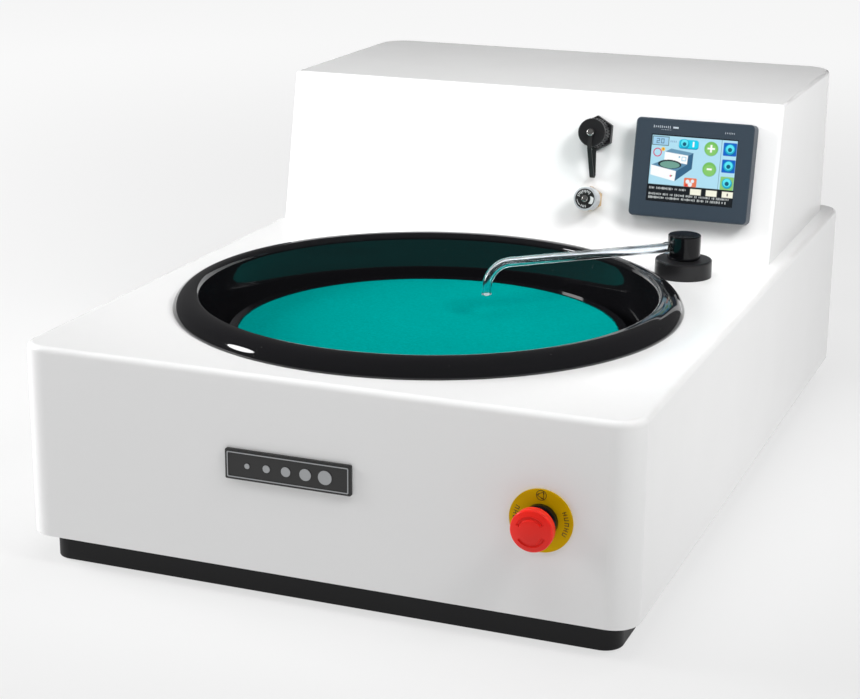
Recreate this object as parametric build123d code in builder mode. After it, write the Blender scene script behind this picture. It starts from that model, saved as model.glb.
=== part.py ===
"""Bench polishing machine: a 300 mm cloth disc in a splash bowl, belt driven from a motor in the hood.

Units are millimetres. X is to the right, Y to the rear and Z up. The origin is on the bench, midway between
the sides and midway between the front and rear faces of the housing.
"""

import os
from math import atan2, cos, degrees, hypot, radians, sin, tan

from build123d import *

os.makedirs("parts", exist_ok=True)

# ---- Driving dimensions -------------------------------------------------------------------------

housing_width = 470.0
housing_depth = 700.0
housing_height = 147.0
housing_corner = 20.0
housing_edge = 4.5
wall = 3.0
plinth_height = 24.0
plinth_inset = 13.5
foot_clearance = 1.5

hood_inset = 9.0
hood_offset = -4.5
hood_height = 132.4
hood_lean = 12.08
hood_setback = 442.2
hood_corner = 27.0
hood_edge = 3.0

bowl_setback = 221.6
bowl_rim_radius = 199.5
bowl_lip_radius = 178.5
bowl_lip_height = 13.0
bowl_wall = 4.0
bowl_floor_depth = 58.0

cloth_radius = 150.0
cloth_depth = 20.3
cloth_thickness = 1.2
platen_thickness = 12.0
ring_width = 8.0

spindle_radius = 10.0
bearing_outer_radius = 23.5
bearing_width = 14.0
running_gap = 0.05
free_gap = 0.35

driven_pulley_radius = 60.0
motor_pulley_radius = 24.0
belt_thickness = 4.0
belt_width = 12.0
motor_x = -70.0
motor_y = 235.0

spout_diagonal = 230.0
spout_reach = 177.0
spout_direction = 223.0
spout_height = 24.8
tube_radius = 4.0
tube_bore = 2.5
tube_bend = 20.0

# ---- Levels and planes worked out from them ----------------------------------------------------

front_y = -housing_depth / 2
rear_y = housing_depth / 2
deck_z = plinth_height + housing_height
chassis_z = plinth_height
chassis_thickness = 3.0
chassis_top = chassis_z + chassis_thickness
bowl_y = front_y + bowl_setback
hood_front_y = front_y + hood_setback
hood_rear_y = rear_y - 2.5
hood_half = housing_width / 2 - hood_inset
cloth_top = deck_z - cloth_depth
platen_top = cloth_top - cloth_thickness
platen_bottom = platen_top - platen_thickness
bowl_floor = deck_z - bowl_floor_depth
belt_z = 42.0

lean = radians(hood_lean)
hood_normal = (0, -cos(lean), sin(lean))
hood_face = Plane(origin=(0, hood_front_y, deck_z), x_dir=(1, 0, 0), z_dir=hood_normal)

display_place = (151.7, 74.7)
connector_place = (62.0, 100.0)
valve_place = (61.5, 43.0)
stop_place = (169.1, deck_z - 75.3)
spout_x = spout_diagonal * sin(radians(45))
spout_y = bowl_y + spout_diagonal * cos(radians(45))


def on_hood(place, offset=0.0):
    """Plane on the leaning hood face at (x, distance up the face), moved out of the face by offset."""
    origin = hood_face.from_local_coords((place[0], place[1], offset))
    return Plane(origin=origin, x_dir=(1, 0, 0), z_dir=hood_normal)


def on_front(place, offset=0.0):
    """Plane on the housing's front face at (x, height), facing the user."""
    return Plane(origin=(place[0], front_y - offset, place[1]), x_dir=(1, 0, 0), z_dir=(0, -1, 0))


def on_rear(place, offset=0.0):
    """Plane on the housing's rear face at (x, height), facing backwards."""
    return Plane(origin=(place[0], rear_y + offset, place[1]), x_dir=(-1, 0, 0), z_dir=(0, 1, 0))


def level(x, y, z):
    """Horizontal plane with its origin at x, y, z."""
    return Plane(origin=(x, y, z), x_dir=(1, 0, 0), z_dir=(0, 0, 1))


def disc(plane, radius, height, mode=Mode.ADD):
    """Round boss, or hole, that rises from the plane."""
    with BuildSketch(plane) as profile:
        Circle(radius)
    extrude(profile.sketch, amount=height, mode=mode)


def tube(plane, outer, inner, height, mode=Mode.ADD):
    """Ring-shaped wall that rises from the plane."""
    with BuildSketch(plane) as profile:
        Circle(outer)
        Circle(inner, mode=Mode.SUBTRACT)
    extrude(profile.sketch, amount=height, mode=mode)


def slab(plane, width, depth, height, corner=0.0, mode=Mode.ADD):
    """Rectangular block, with rounded corners if a radius is given, that rises from the plane."""
    with BuildSketch(plane) as profile:
        if corner > 0:
            RectangleRounded(width, depth, corner)
        else:
            Rectangle(width, depth)
    extrude(profile.sketch, amount=height, mode=mode)


def hexagon(plane, across_flats, height, bore=0.0):
    """Hexagon nut with a corner at the top, and its bore."""
    with BuildSketch(plane) as profile:
        RegularPolygon(across_flats / 2, 6, major_radius=False, rotation=30)
        if bore > 0:
            Circle(bore, mode=Mode.SUBTRACT)
    extrude(profile.sketch, amount=height)


def save(part, name):
    """Labels the finished piece and writes its STEP file."""
    part.label = name
    export_step(part, f"parts/{name}.step")


# ---- Base ---------------------------------------------------------------------------------------

plinth_width = housing_width - 2 * plinth_inset
plinth_depth = housing_depth - 2 * plinth_inset
plinth_corner = housing_corner - 6
foot_x = plinth_width / 2 - 45
foot_y = plinth_depth / 2 - 45
foot_places = [(x, y) for x in (-foot_x, foot_x) for y in (-foot_y, foot_y)]
foot_hole = 5.0

# Folded tray, open at the top, that carries the chassis plate on its walls.
with BuildPart() as base_plinth:
    plinth_floor = level(0, 0, foot_clearance)
    slab(plinth_floor, plinth_width, plinth_depth, plinth_height - foot_clearance, plinth_corner)
    fillet(base_plinth.faces().sort_by(Axis.Z)[0].edges(), 0.8)
    tray_floor = foot_clearance + wall
    slab(
        level(0, 0, tray_floor),
        plinth_width - 2 * wall,
        plinth_depth - 2 * wall,
        plinth_height - tray_floor,
        plinth_corner - wall,
        mode=Mode.SUBTRACT,
    )
    for x, y in foot_places:
        disc(level(x, y, 0), foot_hole, tray_floor, mode=Mode.SUBTRACT)
save(base_plinth.part, "base_plinth")

with BuildPart() as rubber_feet:
    for x, y in foot_places:
        disc(level(x, y, 0), 19, foot_clearance)
        disc(level(x, y, foot_clearance), foot_hole - 0.1, wall + 4)
save(rubber_feet.part, "rubber_feet")

chassis_width = housing_width - 2 * wall - 1.0
chassis_depth = housing_depth - 2 * wall - 1.0
with BuildPart() as chassis_plate:
    slab(level(0, 0, chassis_z), chassis_width, chassis_depth, chassis_thickness, housing_corner - wall)
save(chassis_plate.part, "chassis_plate")

# ---- White shells -------------------------------------------------------------------------------

bowl_hole_radius = bowl_lip_radius + 6.5
deck_opening = (400.0, 230.0, 213.0)
spout_shank_radius = 11.0
blank_x = -spout_x
stop_barrel_radius = 8.0
inlet_place = (150.0, 70.0)
inlet_cutout = (48.0, 27.5)
switch_place = (95.0, 70.0)
switch_cutout = (27.0, 20.0)
water_place = (-150.0, 112.0)
water_radius = 13.2
drain_place = (-190.0, 62.0)
drain_shank_radius = 11.0

# Lower housing: one moulded cover, open at the bottom, with the bowl opening in its deck.
with BuildPart() as lower_housing:
    slab(level(0, 0, plinth_height), housing_width, housing_depth, housing_height, housing_corner)
    fillet(lower_housing.faces().sort_by(Axis.Z)[-1].edges(), housing_edge)
    slab(
        level(0, 0, plinth_height),
        housing_width - 2 * wall,
        housing_depth - 2 * wall,
        housing_height - wall,
        housing_corner - wall,
        mode=Mode.SUBTRACT,
    )
    disc(level(0, bowl_y, deck_z - wall), bowl_hole_radius, wall, mode=Mode.SUBTRACT)
    slab(
        level(0, deck_opening[2], deck_z - wall),
        deck_opening[0],
        deck_opening[1],
        wall,
        8,
        mode=Mode.SUBTRACT,
    )
    for x in (spout_x, blank_x):
        disc(level(x, spout_y, deck_z - wall), spout_shank_radius + 0.3, wall, mode=Mode.SUBTRACT)
    disc(on_front(stop_place, -wall), stop_barrel_radius + 0.3, wall, mode=Mode.SUBTRACT)
    slab(on_rear(inlet_place, -wall), inlet_cutout[0], inlet_cutout[1], wall, 3, mode=Mode.SUBTRACT)
    slab(on_rear(switch_place, -wall), switch_cutout[0], switch_cutout[1], wall, 1, mode=Mode.SUBTRACT)
    disc(on_rear(water_place, -wall), water_radius + 0.3, wall, mode=Mode.SUBTRACT)
    disc(on_rear(drain_place, -wall), drain_shank_radius + 0.3, wall, mode=Mode.SUBTRACT)
save(lower_housing.part, "lower_housing")


def hood_block(inset):
    """Solid with the hood's outline, smaller by inset on every closed side, with its front leaning back."""
    half = hood_half - inset
    back = hood_rear_y - inset
    corner = hood_corner - inset
    front = hood_front_y - 30
    with BuildPart() as block:
        with BuildSketch(Plane.XY.offset(deck_z)):
            with Locations((hood_offset, (front + back) / 2)):
                Rectangle(2 * half, back - front)
            fillet(profile_corners(back), corner)
        extrude(amount=hood_height - inset)
        cutter = hood_face.offset(-inset)
        split(bisect_by=cutter, keep=Keep.BOTTOM)
    return block.part


def profile_corners(back):
    """The sketch corners on the rear edge."""
    sketch = BuildSketch._get_context()
    return [v for v in sketch.vertices() if v.Y > back - 1]


hood_outer = hood_block(0)
hood_inner = hood_block(wall)
panel_width = 372.0
panel_height = 100.0
panel_z = deck_z + 64.0
panel_lip = 8.0
display_hole_radius = 11.25
connector_hole_radius = 9.3
valve_hole_radius = 7.8

# Rear hood: leaning control face, closed top and sides, open rear behind a removable panel.
with BuildPart() as rear_hood:
    add(hood_outer)
    top_face = rear_hood.faces().sort_by(Axis.Z)[-1]
    front_edges = [
        e
        for e in rear_hood.edges().filter_by(GeomType.LINE)
        if abs(e.center().X - hood_offset) > hood_half - 1 and abs(e.tangent_at(0).Z) > 0.5
        and e.center().Y < hood_front_y + 40 and e.length > 100
    ]
    fillet(list(top_face.edges()) + front_edges, hood_edge)
    add(hood_inner, mode=Mode.SUBTRACT)
    slab(
        Plane(origin=(0, hood_rear_y - wall - 1, panel_z), x_dir=(-1, 0, 0), z_dir=(0, 1, 0)),
        panel_width - 2 * panel_lip,
        panel_height - 2 * panel_lip,
        wall + 2,
        6,
        mode=Mode.SUBTRACT,
    )
    disc(on_hood(display_place, -wall), display_hole_radius, wall, mode=Mode.SUBTRACT)
    disc(on_hood(connector_place, -wall), connector_hole_radius, wall, mode=Mode.SUBTRACT)
    disc(on_hood(valve_place, -wall), valve_hole_radius, wall, mode=Mode.SUBTRACT)
save(rear_hood.part, "rear_hood")

# Rear panel with two banks of louvre slots.
panel_thickness = 1.5
screw_places = [(x, z) for x in (-panel_width / 2 + 8, 0, panel_width / 2 - 8) for z in (-43.0, 43.0)]
panel_screw_radius = 1.9
panel_head_radius = 3.6
panel_head_height = 2.2
panel_plane = Plane(origin=(0, hood_rear_y, panel_z), x_dir=(-1, 0, 0), z_dir=(0, 1, 0))
with BuildPart() as rear_panel:
    slab(panel_plane, panel_width, panel_height, panel_thickness, 5)
    with BuildSketch(panel_plane) as louvres:
        for bank in (-85, 85):
            with Locations((bank, 0)):
                with GridLocations(0, 11, 1, 6):
                    SlotOverall(120, 4)
    extrude(louvres.sketch, amount=panel_thickness, mode=Mode.SUBTRACT)
    with BuildSketch(panel_plane) as holes:
        with Locations(*screw_places):
            Circle(panel_screw_radius + 0.3)
    extrude(holes.sketch, amount=panel_thickness, mode=Mode.SUBTRACT)
save(rear_panel.part, "rear_panel")

with BuildPart() as rear_panel_screws:
    for x, z in screw_places:
        seat = (-x, hood_rear_y + panel_thickness, panel_z + z)
        head = Plane(origin=seat, x_dir=(-1, 0, 0), z_dir=(0, 1, 0))
        disc(head, panel_head_radius, panel_head_height)
        disc(head, panel_screw_radius, -panel_thickness)
    rims = [e for e in rear_panel_screws.edges().filter_by(GeomType.CIRCLE) if e.radius > 3]
    fillet([e for e in rims if e.center().Y > hood_rear_y + panel_thickness + 1], 1.2)
save(rear_panel_screws.part, "rear_panel_screws")

# ---- Bowl ---------------------------------------------------------------------------------------

bowl_boss_bore = 22.0
bowl_boss_radius = 27.0
bowl_boss_height = 11.0
bowl_bottom = -bowl_floor_depth - bowl_wall
bowl_draft = 3.5
drain_angle = 135.0
drain_radius = 148.0
drain_bore = 9.0
drain_x = drain_radius * cos(radians(drain_angle))
drain_y = bowl_y + drain_radius * sin(radians(drain_angle))

# Splash bowl: a convex rim that rests on the deck, a near-vertical wall, a floor and a boss for the spindle.
with BuildPart() as bowl:
    with BuildSketch(Plane(origin=(0, bowl_y, deck_z), x_dir=(1, 0, 0), z_dir=(0, -1, 0))) as section:
        with BuildLine():
            crest = (bowl_lip_radius + 5, bowl_lip_height)
            rim_base = (bowl_rim_radius, 1.6)
            rim_middle = (bowl_rim_radius - 6.05, 10.0)
            lip = (bowl_lip_radius, bowl_lip_height - 4)
            lip_middle = (bowl_lip_radius + 1.4, bowl_lip_height - 1.2)
            wall_foot = (bowl_lip_radius - bowl_draft, -bowl_floor_depth + 8)
            floor_edge = (bowl_lip_radius - bowl_draft - 8, -bowl_floor_depth)
            floor_middle = (bowl_lip_radius - bowl_draft - 2.4, -bowl_floor_depth + 2.4)
            outer_wall = bowl_lip_radius + bowl_wall + 0.5
            Line((bowl_rim_radius, 0), rim_base)
            ThreePointArc(rim_base, rim_middle, crest)
            ThreePointArc(crest, lip_middle, lip)
            Line(lip, wall_foot)
            ThreePointArc(wall_foot, floor_middle, floor_edge)
            Polyline(
                floor_edge,
                (bowl_boss_radius, -bowl_floor_depth),
                (bowl_boss_radius - 1, -bowl_floor_depth + bowl_boss_height),
                (bowl_boss_bore, -bowl_floor_depth + bowl_boss_height),
                (bowl_boss_bore, bowl_bottom),
                (outer_wall - 9, bowl_bottom),
                (outer_wall, bowl_bottom + 9),
                (outer_wall, 0),
                (bowl_rim_radius, 0),
            )
        make_face()
    revolve(section.sketch, Axis((0, bowl_y, 0), (0, 0, 1)))
    disc(level(drain_x, drain_y, bowl_floor - bowl_wall), drain_bore, bowl_wall, mode=Mode.SUBTRACT)
save(bowl.part, "bowl")

# Drain elbow under the bowl floor, turned to the rear, then the hose and the bulkhead spigot.
elbow_top = bowl_floor - bowl_wall
elbow_turn = 16.0
hose_z = elbow_top - 6 - elbow_turn
with BuildPart() as bowl_drain_elbow:
    with BuildLine() as elbow_path:
        FilletPolyline(
            (drain_x, drain_y, elbow_top),
            (drain_x, drain_y, hose_z),
            (drain_x, drain_y + 40, hose_z),
            radius=elbow_turn,
        )
    with BuildSketch(Plane(origin=(drain_x, drain_y, elbow_top), z_dir=(0, 0, -1))) as elbow_section:
        Circle(drain_bore + 2)
        Circle(drain_bore, mode=Mode.SUBTRACT)
    sweep(elbow_section.sketch, path=elbow_path.wire())
    tube(level(drain_x, drain_y, elbow_top), drain_bore + 9, drain_bore, -3)
save(bowl_drain_elbow.part, "bowl_drain_elbow")

drain_end_y = rear_y - 30
drain_route = [
    (drain_x, drain_y + 40.2, hose_z),
    (drain_x, drain_y + 95, hose_z),
    (drain_place[0], drain_y + 190, drain_place[1]),
    (drain_place[0], drain_end_y, drain_place[1]),
]


def route_radii(route):
    """Largest arc that the two runs at each corner allow, with some straight left over."""
    radii = []
    for a, b, c in zip(route, route[1:], route[2:]):
        before = Vector(*b) - Vector(*a)
        after = Vector(*c) - Vector(*b)
        turn = radians(before.get_angle(after))
        radii.append(0.45 * min(before.length, after.length) / tan(turn / 2))
    print("hose radii", [round(r) for r in radii])
    return radii


def run_hose(route, outer, inner):
    """Hose along straight runs joined by tangent arcs."""
    with BuildLine() as path:
        FilletPolyline(*route, radius=route_radii(route))
    start = Vector(*route[0])
    heading = Vector(*route[1]) - start
    with BuildSketch(Plane(origin=start, z_dir=heading)) as profile:
        Circle(outer)
        Circle(inner, mode=Mode.SUBTRACT)
    sweep(profile.sketch, path=path.wire())


with BuildPart() as drain_hose:
    run_hose(drain_route, drain_bore + 2.5, drain_bore)
save(drain_hose.part, "drain_hose")

stub_radius = 12.5
stub_length = 24.0
with BuildPart() as drain_spigot:
    tube(on_rear(drain_place, 0), 17, 8, 4)
    tube(on_rear(drain_place, 4), stub_radius, 8, stub_length)
    stub_end = drain_spigot.faces().sort_by(Axis.Y)[-1].edges()
    chamfer([e for e in stub_end if e.radius > 9], 1)
    tube(on_rear(drain_place, -29.8), drain_shank_radius, 8, 29.8)
    with BuildSketch(on_rear(drain_place, -wall - 5)) as spigot_nut:
        RegularPolygon(16, 6, major_radius=False)
        Circle(drain_shank_radius, mode=Mode.SUBTRACT)
    extrude(spigot_nut.sketch, amount=5)
save(drain_spigot.part, "drain_spigot")

# ---- Spindle ------------------------------------------------------------------------------------

bridge_z = 75.0
bridge_thickness = 5.0
bridge_half = 140.0
bridge_depth = 110.0
bearing_body_radius = 32.0
bearing_bottom = 56.0
bearing_top = 104.0
pulley_bottom = belt_z - 9
pulley_height = 18.0
hub_top = platen_bottom
hub_thickness = 8.0
skirt_wall = 4.0
skirt_clearance = 4.0
hub_radius = 60.0
pin_circle = 45.0
pin_radius = 4.0
pin_count = 3

with BuildPart() as spindle_bridge:
    slab(level(0, bowl_y, bridge_z), 2 * bridge_half, bridge_depth, bridge_thickness)
    for side in (-1, 1):
        leg_x = side * (bridge_half - bridge_thickness / 2)
        foot = side * (bridge_half + 9)
        slab(level(leg_x, bowl_y, chassis_top), bridge_thickness, bridge_depth, bridge_z - chassis_top)
        slab(level(foot, bowl_y, chassis_top), 18, bridge_depth, bridge_thickness)
    disc(level(0, bowl_y, bridge_z), bearing_body_radius + 0.5, bridge_thickness, mode=Mode.SUBTRACT)
save(spindle_bridge.part, "spindle_bridge")

flange_z = bridge_z + bridge_thickness
lower_bearing_z = bearing_bottom + 2
upper_bearing_z = bearing_top - 2 - bearing_width
with BuildPart() as bearing_housing:
    disc(level(0, bowl_y, bearing_bottom), bearing_body_radius, bearing_top - bearing_bottom)
    disc(level(0, bowl_y, flange_z), 52, 8)
    with BuildSketch(level(0, bowl_y, flange_z)) as flange_holes:
        with PolarLocations(43, 4, start_angle=45):
            Circle(3.3)
    extrude(flange_holes.sketch, amount=8, mode=Mode.SUBTRACT)
    bearing_foot = level(0, bowl_y, bearing_bottom)
    disc(bearing_foot, spindle_radius + 8, bearing_top - bearing_bottom, mode=Mode.SUBTRACT)
    for low in (bearing_bottom, upper_bearing_z):
        disc(level(0, bowl_y, low), bearing_outer_radius + 0.03, bearing_width + 2, mode=Mode.SUBTRACT)
save(bearing_housing.part, "bearing_housing")

bearing_levels = (lower_bearing_z, upper_bearing_z)
with BuildPart() as bearing_outer_rings:
    for low in bearing_levels:
        tube(level(0, bowl_y, low), bearing_outer_radius, spindle_radius + 5, bearing_width)
save(bearing_outer_rings.part, "bearing_outer_rings")

with BuildPart() as bearing_inner_rings:
    for low in bearing_levels:
        tube(level(0, bowl_y, low), spindle_radius + 5 - free_gap, spindle_radius + 0.02, bearing_width)
save(bearing_inner_rings.part, "bearing_inner_rings")

with BuildPart() as spindle_seal:
    seal_z = bowl_floor - bowl_wall + 1
    tube(level(0, bowl_y, seal_z), bowl_boss_bore - 0.05, spindle_radius + free_gap, 8)
save(spindle_seal.part, "spindle_seal")

shaft_top = hub_top - hub_thickness + 4
with BuildPart() as spindle_shaft:
    disc(level(0, bowl_y, pulley_bottom), spindle_radius, shaft_top - pulley_bottom)
    chamfer(spindle_shaft.faces().sort_by(Axis.Z)[0].edges(), 1)
save(spindle_shaft.part, "spindle_shaft")


def belt_pulley(x, y, radius, bore):
    """Flanged belt pulley with its running surface at the given radius."""
    disc(level(x, y, pulley_bottom), radius, pulley_height)
    for low in (pulley_bottom, pulley_bottom + pulley_height - 2):
        disc(level(x, y, low), radius + belt_thickness + 1.5, 2)
    disc(level(x, y, pulley_bottom), bore, pulley_height, mode=Mode.SUBTRACT)


with BuildPart() as driven_pulley:
    belt_pulley(0, bowl_y, driven_pulley_radius, spindle_radius + 0.02)
    with BuildSketch(level(0, bowl_y, pulley_bottom)) as lightening:
        with PolarLocations(36, 5):
            Circle(9)
    extrude(lightening.sketch, amount=pulley_height, mode=Mode.SUBTRACT)
save(driven_pulley.part, "driven_pulley")

# Drive hub: a skirted disc on the spindle that covers the bowl's boss, with three pins that turn the platen.
skirt_radius = bowl_boss_radius + 6
with BuildPart() as drive_hub:
    hub_plane = level(0, bowl_y, hub_top - hub_thickness)
    disc(hub_plane, hub_radius, hub_thickness)
    skirt_drop = hub_top - hub_thickness - bowl_floor - skirt_clearance
    tube(hub_plane, skirt_radius, skirt_radius - skirt_wall, -skirt_drop)
    disc(hub_plane, spindle_radius + 0.02, 4, mode=Mode.SUBTRACT)
    with BuildSketch(level(0, bowl_y, hub_top)) as pins:
        with PolarLocations(pin_circle, pin_count):
            Circle(pin_radius)
    extrude(pins.sketch, amount=6)
    chamfer(drive_hub.faces().group_by(Axis.Z)[-1].edges(), 1)
save(drive_hub.part, "drive_hub")

with BuildPart() as platen:
    disc(level(0, bowl_y, platen_bottom), cloth_radius, platen_thickness)
    with BuildSketch(level(0, bowl_y, platen_bottom)) as pin_holes:
        with PolarLocations(pin_circle, pin_count):
            Circle(pin_radius + 0.4)
    extrude(pin_holes.sketch, amount=8, mode=Mode.SUBTRACT)
save(platen.part, "platen")

with BuildPart() as polishing_cloth:
    disc(level(0, bowl_y, platen_top), cloth_radius, cloth_thickness)
save(polishing_cloth.part, "polishing_cloth")

with BuildPart() as retaining_ring:
    tube(level(0, bowl_y, platen_bottom + 2), cloth_radius + ring_width, cloth_radius + 0.1, platen_thickness)
    crown = [e for e in retaining_ring.edges().filter_by(GeomType.CIRCLE) if e.radius > cloth_radius + 1]
    fillet([e for e in crown if e.center().Z > platen_top], 1.5)
save(retaining_ring.part, "retaining_ring")

# ---- Motor and belt -----------------------------------------------------------------------------

motor_plate_z = 70.0
motor_plate_thickness = 6.0
motor_bottom = motor_plate_z + motor_plate_thickness
motor_length = 160.0
motor_radius = 58.0
motor_fin_radius = 66.0
motor_shaft_radius = 9.5
cowl_length = 48.0
motor_base = level(motor_x, motor_y, motor_bottom)

with BuildPart() as motor_mount:
    slab(level(motor_x, motor_y, motor_plate_z), 184, 136, motor_plate_thickness)
    for side in (-1, 1):
        leg_x = motor_x + side * 89
        foot = motor_x + side * 100
        slab(level(leg_x, motor_y, chassis_top), 6, 136, motor_plate_z - chassis_top)
        slab(level(foot, motor_y, chassis_top), 16, 136, 5)
    disc(level(motor_x, motor_y, motor_plate_z), 30, motor_plate_thickness, mode=Mode.SUBTRACT)
save(motor_mount.part, "motor_mount")

# Motor with cooling fins along its frame, a terminal box on its side and a shaft that points down.
fin_count = 28
with BuildPart() as motor_body:
    disc(motor_base, motor_radius, motor_length)
    disc(motor_base, motor_fin_radius, 12)
    with BuildSketch(level(motor_x, motor_y, motor_bottom + 12)) as fins:
        with PolarLocations(motor_radius + 3, fin_count):
            Rectangle(9, 2.4)
    extrude(fins.sketch, amount=motor_length - 24)
    slab(level(motor_x + motor_radius + 24, motor_y, motor_bottom + 60), 34, 70, 60, 4)
    disc(motor_base, motor_shaft_radius + running_gap, 60, mode=Mode.SUBTRACT)
save(motor_body.part, "motor_body")

cowl_z = motor_bottom + motor_length
with BuildPart() as motor_fan_cowl:
    disc(level(motor_x, motor_y, cowl_z), motor_fin_radius, cowl_length)
    fillet(motor_fan_cowl.faces().sort_by(Axis.Z)[-1].edges(), 6)
    disc(level(motor_x, motor_y, cowl_z), motor_fin_radius - 2, cowl_length - 2, mode=Mode.SUBTRACT)
    with BuildSketch(level(motor_x, motor_y, cowl_z + cowl_length - 2)) as grille:
        for ring_radius, slots in ((18, 6), (32, 10), (46, 14)):
            with PolarLocations(ring_radius, slots):
                Rectangle(9, 3.5)
    extrude(grille.sketch, amount=2, mode=Mode.SUBTRACT)
save(motor_fan_cowl.part, "motor_fan_cowl")

with BuildPart() as motor_shaft:
    disc(level(motor_x, motor_y, pulley_bottom), motor_shaft_radius, motor_bottom + 58 - pulley_bottom)
save(motor_shaft.part, "motor_shaft")

with BuildPart() as motor_pulley:
    belt_pulley(motor_x, motor_y, motor_pulley_radius, motor_shaft_radius + 0.02)
save(motor_pulley.part, "motor_pulley")


def belt_outline(growth):
    """Area inside a line stretched round both pulleys, as two discs and the band between them."""
    big = driven_pulley_radius + growth
    small = motor_pulley_radius + growth
    run = hypot(motor_x, motor_y - bowl_y)
    heading = degrees(atan2(motor_y - bowl_y, motor_x))
    lap = degrees(atan2((run**2 - (big - small) ** 2) ** 0.5, big - small))
    corners = []
    for side in (-1, 1):
        angle = radians(heading + side * lap)
        near = (big * cos(angle), bowl_y + big * sin(angle))
        far = (motor_x + small * cos(angle), motor_y + small * sin(angle))
        corners.append((near, far))
    with BuildSketch(Plane.XY.offset(belt_z - belt_width / 2)) as outline:
        with Locations((0, bowl_y)):
            Circle(big)
        with Locations((motor_x, motor_y)):
            Circle(small)
        with BuildLine():
            Polyline(corners[0][0], corners[0][1], corners[1][1], corners[1][0], close=True)
        make_face()
    return outline.sketch


belt_outer = belt_outline(free_gap + belt_thickness)
belt_inner = belt_outline(free_gap)
with BuildPart() as drive_belt:
    extrude(belt_outer, amount=belt_width)
    extrude(belt_inner, amount=belt_width, mode=Mode.SUBTRACT)
save(drive_belt.part, "drive_belt")

# ---- Electrics inside the hood ------------------------------------------------------------------

drive_x = 92.0
drive_y = 258.0
with BuildPart() as inverter_drive:
    slab(level(drive_x, drive_y, chassis_top), 92, 74, 150, 4)
    with BuildSketch(level(drive_x, drive_y + 37 + 5, chassis_top)) as heat_fins:
        with GridLocations(9, 0, 10, 1):
            Rectangle(2, 12)
    extrude(heat_fins.sketch, amount=150)
save(inverter_drive.part, "inverter_drive")

with BuildPart() as power_supply:
    slab(level(192, 165, chassis_top), 54, 110, 62, 2)
    with BuildSketch(level(192, 165, chassis_top + 62)) as supply_vents:
        with GridLocations(0, 9, 1, 9):
            SlotOverall(38, 3)
    extrude(supply_vents.sketch, amount=-2, mode=Mode.SUBTRACT)
save(power_supply.part, "power_supply")

inlet_flange = (60.0, 31.0)
with BuildPart() as mains_inlet:
    slab(on_rear(inlet_place), inlet_flange[0], inlet_flange[1], 3, 3)
    slab(on_rear(inlet_place), inlet_cutout[0] - 0.6, inlet_cutout[1] - 0.6, -26, 2.5)
    slab(on_rear(inlet_place, 3), 24.4, 16.6, -18, 3, mode=Mode.SUBTRACT)
    with BuildSketch(on_rear(inlet_place, -15)) as blades:
        with Locations((-7, -2), (0, 2), (7, -2)):
            Rectangle(2, 4)
    extrude(blades.sketch, amount=9)
save(mains_inlet.part, "mains_inlet")

rocker_width = 18.0
rocker_height = 12.0
with BuildPart() as switch_frame:
    slab(on_rear(switch_place), switch_cutout[0] + 5, switch_cutout[1] + 4, 2, 1.5)
    slab(on_rear(switch_place), switch_cutout[0] - 0.6, switch_cutout[1] - 0.6, -22, 0.8)
    slab(on_rear(switch_place, 2), rocker_width + 1.2, rocker_height + 3.6, -12, 0.5, mode=Mode.SUBTRACT)
save(switch_frame.part, "switch_frame")

# Rocker: a shallow V with its left half pressed, turning about a vertical axis through the frame.
rocker_tilt = 8.0
rocker_pivot = (switch_place[0], rear_y - 3.0, switch_place[1])
with BuildPart() as power_rocker:
    rocker_plane = Plane(origin=rocker_pivot, x_dir=(-1, 0, 0), z_dir=(0, 0, 1)).rotated((0, 0, rocker_tilt))
    with BuildSketch(rocker_plane.offset(-rocker_height / 2)) as rocker_section:
        with BuildLine():
            Polyline((-8.6, -6.2), (0, -4.6), (8.6, -6.2), (7.6, 2.5), (0, 4.5), (-7.6, 2.5), close=True)
        make_face()
    extrude(rocker_section.sketch, amount=rocker_height)
save(power_rocker.part, "power_rocker")

# ---- Emergency stop -----------------------------------------------------------------------------

legend_radius = 22.5
legend_thickness = 1.2
stop_stem_radius = 4.95
collar_top = 6.5
mushroom_radius = 15.0
mushroom_top = 24.8
with BuildPart() as estop_legend:
    tube(on_front(stop_place), legend_radius, stop_barrel_radius + 0.3, legend_thickness)
save(estop_legend.part, "estop_legend")

with BuildPart() as estop_collar:
    disc(on_front(stop_place, legend_thickness), 12.2, collar_top - legend_thickness)
    fillet(estop_collar.faces().sort_by(Axis.Y)[0].edges(), 1.6)
    disc(on_front(stop_place, legend_thickness), stop_barrel_radius, -24)
    disc(on_front(stop_place, collar_top), stop_stem_radius + running_gap, -40, mode=Mode.SUBTRACT)
save(estop_collar.part, "estop_collar")

block_front = legend_thickness - 24
with BuildPart() as estop_contact_block:
    slab(on_front(stop_place, block_front - 30), 19, 19, 30, 1.5)
    disc(on_front(stop_place, block_front), 6, -8, mode=Mode.SUBTRACT)
save(estop_contact_block.part, "estop_contact_block")

stem_head = 20.0
with BuildPart() as estop_stem:
    disc(on_front(stop_place, -20), stop_stem_radius, 20 + stem_head)
save(estop_stem.part, "estop_stem")

stop_axis = Axis((stop_place[0], front_y, stop_place[1]), (0, -1, 0))
skirt_bottom = 11.2
brow_radius = mushroom_radius - 0.9
brow_height = 22.0
dome_rise = mushroom_top - brow_height
dome_radius = (brow_radius**2 + dome_rise**2) / (2 * dome_rise)
groove_radius = 9.6
groove_size = 1.4


def dome_height(radius):
    """Height of the mushroom's dome above the panel at a distance from its axis."""
    return mushroom_top - dome_radius + (dome_radius**2 - radius**2) ** 0.5


def radial_plane(angle):
    """Plane through the button's axis: local X runs outwards at the angle, local Y away from the panel."""
    along = radians(angle)
    origin = (stop_place[0], front_y, stop_place[1])
    return Plane(origin=origin, x_dir=(cos(along), 0, sin(along)), z_dir=(sin(along), 0, -cos(along)))


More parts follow.
